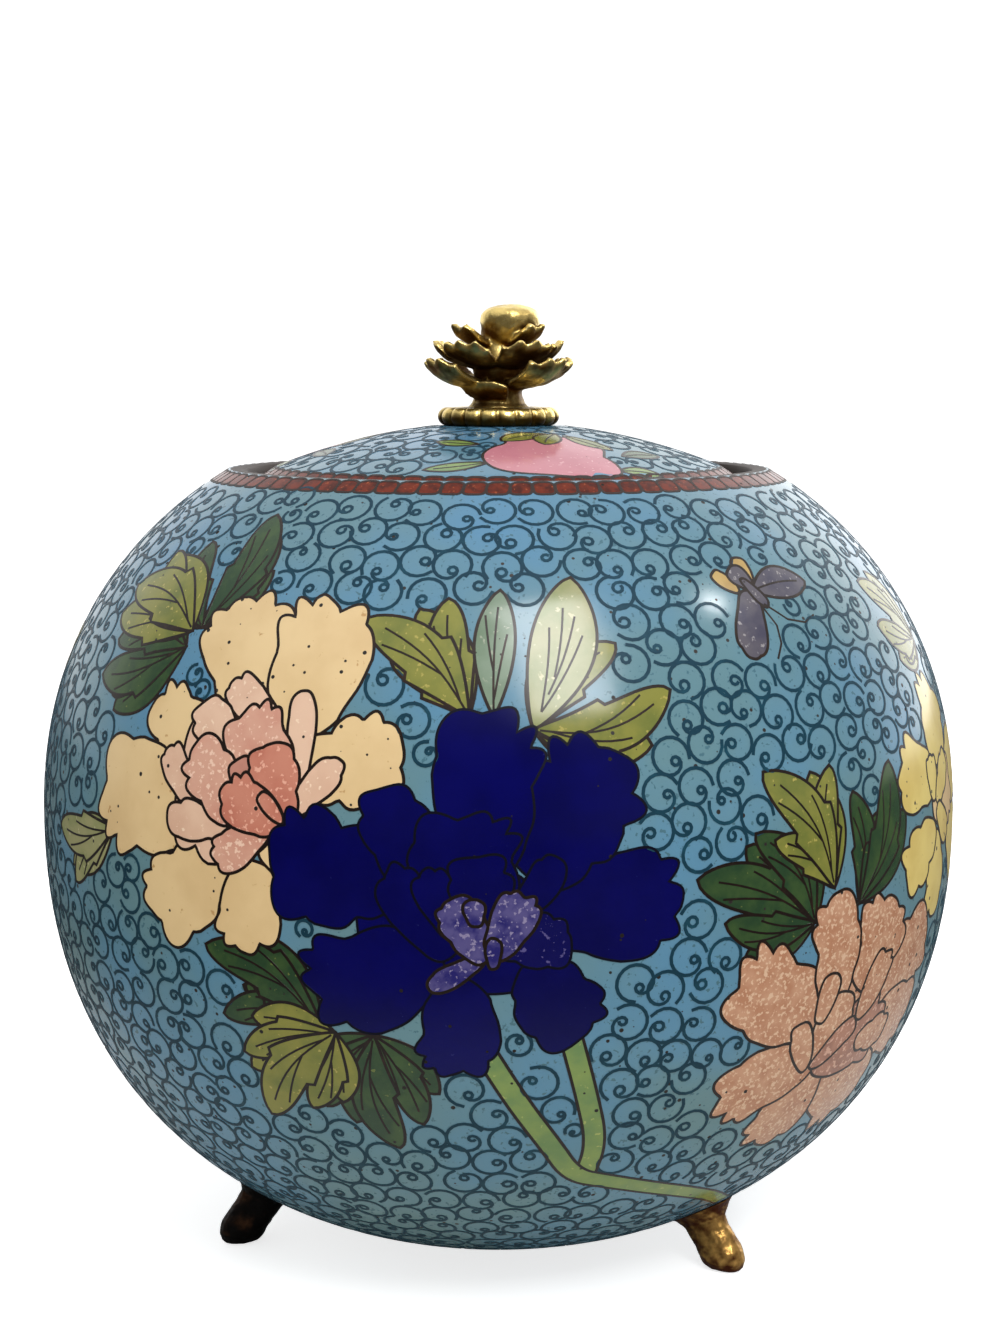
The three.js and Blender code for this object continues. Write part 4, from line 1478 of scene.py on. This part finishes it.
pit = math_node(enamel, "MULTIPLY", math_node(enamel, "LESS_THAN", pits["Distance"], size), wanted)
enamel.links.new(mixed(enamel, pit, colour, srgb(*PIT_COLOUR)), put_out.inputs["Color"])
worn = ramped(enamel, noise_at(enamel, WEAR_SCALE, 4), *WEAR_EDGES, *GLOSS)
rough = math_node(enamel, "ADD", worn, math_node(enamel, "MULTIPLY", pit, PIT_ROUGHNESS))
enamel.links.new(rough, put_out.inputs["Roughness"])
ripple = math_node(enamel, "MULTIPLY", noise_at(enamel, RIPPLE_SCALE, 2), RIPPLE_SHARE)
enamel.links.new(math_node(enamel, "SUBTRACT", ripple, pit), put_out.inputs["Height"])
print("enamel group:", len(enamel.nodes), "nodes")

# %% One glass for each colour
ENAMEL_BUMP = 0.12
ENAMEL_RELIEF = 0.0002


def blank_material(name):
    """A new material with its node tree and its Principled shader."""
    material = bpy.data.materials.new(name)
    material.use_nodes = True
    return material, material.node_tree, material.node_tree.nodes["Principled BSDF"]


def finished(name, group, values, bump_strength, bump_distance):
    """A material that takes colour, gloss and bumps from a node group. Gives also the group's node."""
    material, tree, shader = blank_material(name)
    node = add_node(tree, "ShaderNodeGroup", values, node_tree=group)
    bump = {"Height": node.outputs["Height"], "Strength": bump_strength, "Distance": bump_distance}
    normal = add_node(tree, "ShaderNodeBump", bump).outputs["Normal"]
    tree.links.new(node.outputs["Color"], shader.inputs["Base Color"])
    tree.links.new(node.outputs["Roughness"], shader.inputs["Roughness"])
    tree.links.new(normal, shader.inputs["Normal"])
    return material, tree, shader, node


def glass(name, base, cloud, speck=None, clouds=160, specks=1500, speck_share=0.0, pits=0.12, shine=0.45):
    """An enamel material. Colours are 0 to 255, clouds and specks are per metre, the rest is 0 to 1."""
    colours = (srgb(*base), srgb(*cloud), srgb(*(speck or base)))
    values = dict(zip(ENAMEL_INPUTS, (*colours, clouds, specks, speck_share, pits)))
    material, _, shader, _ = finished(name, enamel, values, ENAMEL_BUMP, ENAMEL_RELIEF)
    shader.inputs["Specular IOR Level"].default_value = shine
    return material


GLASS_VALUES = {
    "ground": ((98, 136, 148), (88, 138, 172), (72, 112, 128), 45, 1600, 0.34, 0.4),
    "lining": ((92, 148, 186), (78, 134, 178), None, 70),
    "cream": ((228, 200, 152), (218, 188, 140), (192, 152, 102), 120, 900, 0.2, 0.4),
    "pale_pink": ((228, 193, 168), (216, 176, 152), (240, 214, 190), 160, 1500, 0.3),
    "pink": ((214, 165, 145), (204, 146, 128), (236, 200, 180), 200, 1700, 0.42),
    "dusky_pink": ((196, 138, 122), (182, 122, 108), None, 200),
    "salmon": ((202, 134, 114), (190, 116, 98), (228, 170, 150), 200, 1700, 0.4),
    "cobalt": ((0, 0, 72), (0, 0, 86), (40, 44, 110), 120, 1500, 0.1, 0.1, 0.2),
    "cobalt_specked": ((2, 2, 78), (10, 8, 84), (84, 78, 136), 200, 1500, 0.36, 0.1, 0.25),
    "lavender": ((84, 78, 134), (34, 30, 106), (138, 130, 168), 560, 1900, 0.4),
    "rose_brown": ((176, 126, 106), (150, 104, 88), (208, 164, 146), 260, 1600, 0.45),
    "speckled_salmon": ((198, 152, 125), (180, 128, 100), (218, 184, 158), 420, 2100, 0.48, 0.4),
    "yellow": ((228, 208, 128), (214, 190, 112), (200, 170, 96), 160, 1000, 0.2, 0.35),
    "rose": ((196, 120, 130), (180, 100, 114), (220, 160, 164), 160, 1500, 0.3),
    "peach_pink": ((204, 132, 144), (192, 116, 130), (220, 162, 168), 160, 1400, 0.3),
    "olive": ((134, 134, 62), (108, 116, 54), (170, 160, 84), 260, 1300, 0.3, 0.3),
    "dark_green": ((36, 64, 40), (56, 82, 44), (96, 110, 56), 300, 1300, 0.2, 0.3),
    "pale_leaf": ((156, 156, 112), (132, 142, 92), (186, 182, 142), 220, 1200, 0.3, 0.3),
    "grey_leaf": ((122, 142, 122), (98, 122, 96), (150, 160, 140), 220, 1200, 0.3, 0.3),
    "stem_green": ((128, 152, 84), (104, 136, 84), (160, 172, 100), 260, 1200, 0.25, 0.4),
    "slate": ((92, 88, 98), (66, 64, 84), (150, 146, 150), 300, 1500, 0.3),
    "ochre": ((190, 160, 100), (166, 136, 82), None, 300),
    "scale_red": ((114, 40, 18), (72, 22, 10), (150, 72, 40), 900, 1700, 0.3, 0.12, 0.15),
}
GLASSES = {colour: glass(colour + "_enamel", *values) for colour, values in GLASS_VALUES.items()}
print("glasses:", len(GLASSES))

# %% [markdown]
# ## Metal
# The wires are brass that a century of handling has browned, so they read as dark lines, and those of the
# scrolls lie under a film of glass that leaves them blue-green. The knob is bright gilt with tarnished
# patches, and painted shade browns it in its hollows and below. A hollow is found by ambient occlusion,
# which measures how much of the open air each point sees, and below is where a face turns down. The feet
# are the same brass, darker and mottled, with the same painted shade, and the left one is nearly black.

# %% Browned, gilt and patinated brass, with painted shade
# Faces that turn down keep only this share of their openness: painted shade under the knob and the feet.
UNDERSIDE_SHADE_LEVEL = 0.74
COAT_ROUGHNESS = 0.2
WIRE_SHINE = 0.15
METAL_SHINE = 0.5
METAL_GLOSS = (0.26, 0.52)
TARNISH_EDGES = (0.15, 0.75)
TURNED_DOWN = (-0.6, 0.3)
FINE_GRAIN = 2600.0
METAL_RELIEF = 0.0001
HOLLOW_SAMPLES = 6
METAL_INPUTS = {"Clean": "Color", "Tarnish": "Color", "Scale": "Float", "Unshaded": "Float", "Cover": "Float"}
tarnish_and_shade, given, put_out = node_group("tarnish_and_shade", METAL_INPUTS, FINISH)
patches = noise_at(tarnish_and_shade, given["Scale"], 6)
# Tarnished patches spread where openness is low, and openness carries the painted shade of hollows and
# undersides.
covered = math_node(tarnish_and_shade, "ADD", patches, math_node(tarnish_and_shade, "SUBTRACT", given["Cover"], given["Unshaded"]))
covered = ramped(tarnish_and_shade, covered, *TARNISH_EDGES)
height = math_node(tarnish_and_shade, "ADD", noise_at(tarnish_and_shade, FINE_GRAIN, 3), patches)
tarnish_and_shade.links.new(mixed(tarnish_and_shade, covered, given["Clean"], given["Tarnish"]), put_out.inputs["Color"])
tarnish_and_shade.links.new(ramped(tarnish_and_shade, covered, 0.0, 1.0, *METAL_GLOSS), put_out.inputs["Roughness"])
tarnish_and_shade.links.new(height, put_out.inputs["Height"])


def brass(name, clean, dark, scale, cover, metallic, bump_strength=0.25, reach=0.0016, polish=0.0):
    """A brass with clean and tarnished colours, patches of a scale, and the share they cover. A reach adds
    painted shade in hollows and below.
    """
    values = {"Clean": srgb(*clean), "Tarnish": srgb(*dark), "Scale": scale, "Cover": cover}
    material, tree, shader, node = finished(name, tarnish_and_shade, values, bump_strength, METAL_RELIEF)
    if reach:
        # Painted shade: ambient occlusion darkens the hollows, and faces that turn down are darkened too, by
        # lowering openness.
        hollow_shade = add_node(tree, "ShaderNodeAmbientOcclusion", {"Distance": reach}, samples=HOLLOW_SAMPLES)
        facing = add_node(tree, "ShaderNodeNewGeometry").outputs["Normal"]
        facing = add_node(tree, "ShaderNodeSeparateXYZ", {0: facing}).outputs["Z"]
        shade_below = ramped(tree, facing, *TURNED_DOWN, UNDERSIDE_SHADE_LEVEL, 1.0)
        tree.links.new(math_node(tree, "MULTIPLY", hollow_shade.outputs["AO"], shade_below), node.inputs["Unshaded"])
    shader.inputs["Metallic"].default_value = metallic
    shader.inputs["Specular IOR Level"].default_value = WIRE_SHINE if polish else METAL_SHINE
    shader.inputs["Coat Weight"].default_value = polish
    shader.inputs["Coat Roughness"].default_value = COAT_ROUGHNESS
    return material


METALS = {
    "flower_wire": brass("flower_wire_brass", (60, 36, 22), (28, 16, 10), 700, 0.2, 0.3, 0.1, 0, 0.5),
    "cobalt_wire": brass("cobalt_wire_brass", (14, 12, 30), (2, 2, 24), 1400, 0.5, 0.0, 0.1, 0, 0.05),
    "scale_wire": brass("scale_wire_brass", (66, 32, 20), (34, 16, 10), 700, 0.2, 0.3, 0.1, 0),
    "scroll_wire": brass("scroll_wire_brass", (30, 84, 104), (12, 54, 72), 500, 0.2, 0.0, 0.1, 0, 0.15),
    "rim": brass("rim_brass", (84, 52, 30), (40, 24, 14), 300, 0.3, 0.6, 0.2, 0),
    "gilt": brass("gilt_brass", (248, 220, 138), (84, 54, 16), 420, 0.76, 1.0, 0.5, 0.0026),
    "foot": brass("aged_brass", (214, 168, 92), (74, 32, 8), 640, 0.92, 0.85, 0.15, 0.0009),
    # The left foot is given a nearly black brass.
    "dark_foot": brass("near_black_brass", (96, 60, 34), (10, 6, 4), 420, 1.16, 0.8, 0.4),
}
print("metals:", len(METALS))

# %% Giving every piece its finish
finishes = [(piece, [colour]) for colour, piece in (*body_pieces.items(), *lid_cells.items())]
finishes += [(piece, ["scroll_wire"]) for piece in (*body_scrolls, lid_scrolls)]
finishes += [(piece, ["gilt"]) for piece in (finial_flower, knob_collar)]
finishes += [(piece, ["dark_foot" if name == "foot_left" else "foot"]) for name, piece in feet.items()]
finishes += [(piece, ["ground", "rim", "lining"]) for piece in (jar_shell, lid_shell)]
for piece, colours in finishes:
    for colour in colours:
        piece.data.materials.append(GLASSES.get(colour) or METALS[colour])
METAL, LINING = 1, 2
NEAR_SEAT = 0.05
NEAR_RIM = 0.005
NEAR_FLANGE = 0.1
SMOOTH_UNDER = math.radians(35)
for face in jar_shell.data.polygons:
    radius, height = math.hypot(*face.center[:2]) / MM, face.center[2] / MM
    at_skin = abs(radius - np.interp(height, chart_height, chart_radius)) < BODY_WALL / 3
    if height > SEAT_HEIGHT - SEAT_THICKNESS - NEAR_SEAT and not at_skin or height > RIM_HEIGHT - NEAR_RIM:
        face.material_index = METAL
    elif not at_skin and height > BASE_HEIGHT + BODY_WALL / 2:
        face.material_index = LINING
for face in lid_shell.data.polygons:
    radius, height = math.hypot(*face.center[:2]) / MM, face.center[2] / MM
    if height < EDGE_TOP and radius > FLANGE_INNER - NEAR_FLANGE:
        face.material_index = METAL
    elif radius < FLANGE_INNER and height < dome_height(radius, LID_WALL / 2):
        face.material_index = LINING
for piece in (jar_shell, lid_shell):
    select_only(piece)
    bpy.ops.object.shade_smooth_by_angle(angle=SMOOTH_UNDER)
print("finishes given")

# %% [markdown]
# ## What each piece stands for
# Every visible piece rides on the jar's one body. The smooth shells, the knob and the feet stand for the
# plain solids of the model, which are hidden, and the pieces are listed by the finish that they belong to.

# %% Bodies, nodes and slots
STANDS_FOR = {
    "jar_body": jar_shell,
    "lid": lid_shell,
    "finial_flower": finial_flower,
    "finial_collar": knob_collar,
    **feet,
}
for node, piece in STANDS_FOR.items():
    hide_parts(node)
slots = {
    "body_enamel": [jar_shell, *body_scrolls, *body_pieces.values()],
    "lid_enamel": [lid_shell, lid_scrolls, *lid_cells.values()],
    "gilt_brass": [finial_flower, knob_collar],
    "aged_brass": list(feet.values()),
}
for slot, pieces in slots.items():
    for piece in pieces:
        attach(piece, "root")
print("pieces:", sum(len(pieces) for pieces in slots.values()))

# %% [markdown]
# ## Floor and light
# The jar stands on a pale floor in a white room. A tall soft window in front, high and a little to the
# right, makes the long highlight over the top leaves, and a small lamp farther round makes the bright spot
# beside the butterfly. The room is the world's own light. Polished glass would mirror a plain white room as
# a grey veil, and a studio keeps that away with dark screens. Here the mirrored room is dim in front and
# bright behind and above, and the mirrored floor fades away from the jar, so only the glass that is seen at
# a slant turns pale. The light that falls on the glass comes more from the left, and the floor throws some
# of it back a little warmer.

# %% The white room
FLOOR_SIZE = 6.0
FLOOR_ROUGHNESS = 0.7
FLOOR_WHITE = (0.93, 0.93, 0.93, 1)
FLOOR_GLOW = 0.75
FLOOR_BOUNCE = (0.82, 0.76, 0.62, 1)
MIRRORED_NEAR = 0.78
MIRRORED_FAR = 0.06
NEAR_FLOOR = 0.06
FAR_FLOOR = 0.16
ROOM_FILL_LEFT = 0.52
ROOM_FILL_RIGHT = 0.08
FILL_EDGES = (-0.5, 0.6)
ROOM_IN_FRONT = 0.18
ROOM_BEHIND = 1.2
BEHIND_EDGES = (0.1, 0.85)
ROOM_ABOVE = 1.0
ABOVE_EDGES = (0.35, 0.95)
ROOM_RIGHT_GAIN = 2.4
RIGHT_EDGES = (0.0, 0.7)
WHITE = (1, 1, 1, 1)
bpy.ops.mesh.primitive_plane_add(size=FLOOR_SIZE, location=(0, 0, 0))
floor = bpy.context.object
floor.name = "floor"
material, tree, shader = blank_material("pale_floor")
ray = add_node(tree, "ShaderNodeLightPath").outputs
where = add_node(tree, "ShaderNodeTexCoord").outputs["Object"]
away = add_node(tree, "ShaderNodeVectorMath", {0: where}, operation="LENGTH").outputs["Value"]
shown = ramped(tree, away, NEAR_FLOOR, FAR_FLOOR, MIRRORED_NEAR, MIRRORED_FAR)
bounce = mixed(tree, ray["Is Glossy Ray"], FLOOR_BOUNCE, shown)
tree.links.new(mixed(tree, ray["Is Camera Ray"], bounce, FLOOR_WHITE), shader.inputs["Base Color"])
glow = math_node(tree, "MULTIPLY", ray["Is Camera Ray"], FLOOR_GLOW)
tree.links.new(glow, shader.inputs["Emission Strength"])
shader.inputs["Emission Color"].default_value = WHITE
shader.inputs["Roughness"].default_value = FLOOR_ROUGHNESS
floor.data.materials.append(material)

world = bpy.data.worlds.new("white_room")
world.use_nodes = True
tree = world.node_tree
way = add_node(tree, "ShaderNodeTexCoord").outputs["Generated"]
way = add_node(tree, "ShaderNodeSeparateXYZ", {0: way}).outputs
behind = ramped(tree, way["Y"], *BEHIND_EDGES, ROOM_IN_FRONT, ROOM_BEHIND)
above = ramped(tree, way["Z"], *ABOVE_EDGES, ROOM_IN_FRONT, ROOM_ABOVE)
at_right = ramped(tree, way["X"], *RIGHT_EDGES, 1.0, ROOM_RIGHT_GAIN)
mirrored = math_node(tree, "MAXIMUM", math_node(tree, "MULTIPLY", behind, at_right), above)
fill = ramped(tree, way["X"], *FILL_EDGES, ROOM_FILL_LEFT, ROOM_FILL_RIGHT)
ray = add_node(tree, "ShaderNodeLightPath").outputs
fill = math_node(tree, "MULTIPLY", ray["Is Diffuse Ray"], fill)
strength = math_node(tree, "MULTIPLY", mirrored, math_node(tree, "SUBTRACT", 1.0, ray["Is Diffuse Ray"]))
strength = math_node(tree, "MAXIMUM", math_node(tree, "ADD", strength, fill), ray["Is Camera Ray"])
tree.links.new(strength, tree.nodes["Background"].inputs["Strength"])
tree.nodes["Background"].inputs["Color"].default_value = WHITE
bpy.context.scene.world = world


def soft_light(name, azimuth, elevation, distance, size, power):
    """A light that faces the jar from an azimuth to the right of the front and an elevation, in degrees."""
    lamp = bpy.data.lights.new(name, "AREA")
    lamp.shape = "RECTANGLE"
    lamp.size, lamp.size_y = size
    lamp.energy = power
    light = bpy.data.objects.new(name, lamp)
    around, up = math.radians(azimuth), math.radians(elevation)
    way = Vector((math.sin(around) * math.cos(up), -math.cos(around) * math.cos(up), math.sin(up)))
    light.location = Vector((0, 0, BELLY_HEIGHT * MM)) + way * distance
    light.rotation_euler = way.to_track_quat("Z", "Y").to_euler()
    bpy.context.collection.objects.link(light)


soft_light("window", 20, 50, 1.0, (0.34, 0.6), 7.6)
soft_light("lamp", 85, 49, 1.0, (0.07, 0.07), 0.7)
print("lights set")

# %% [markdown]
# ## Last step

# %% Finish
print("done")
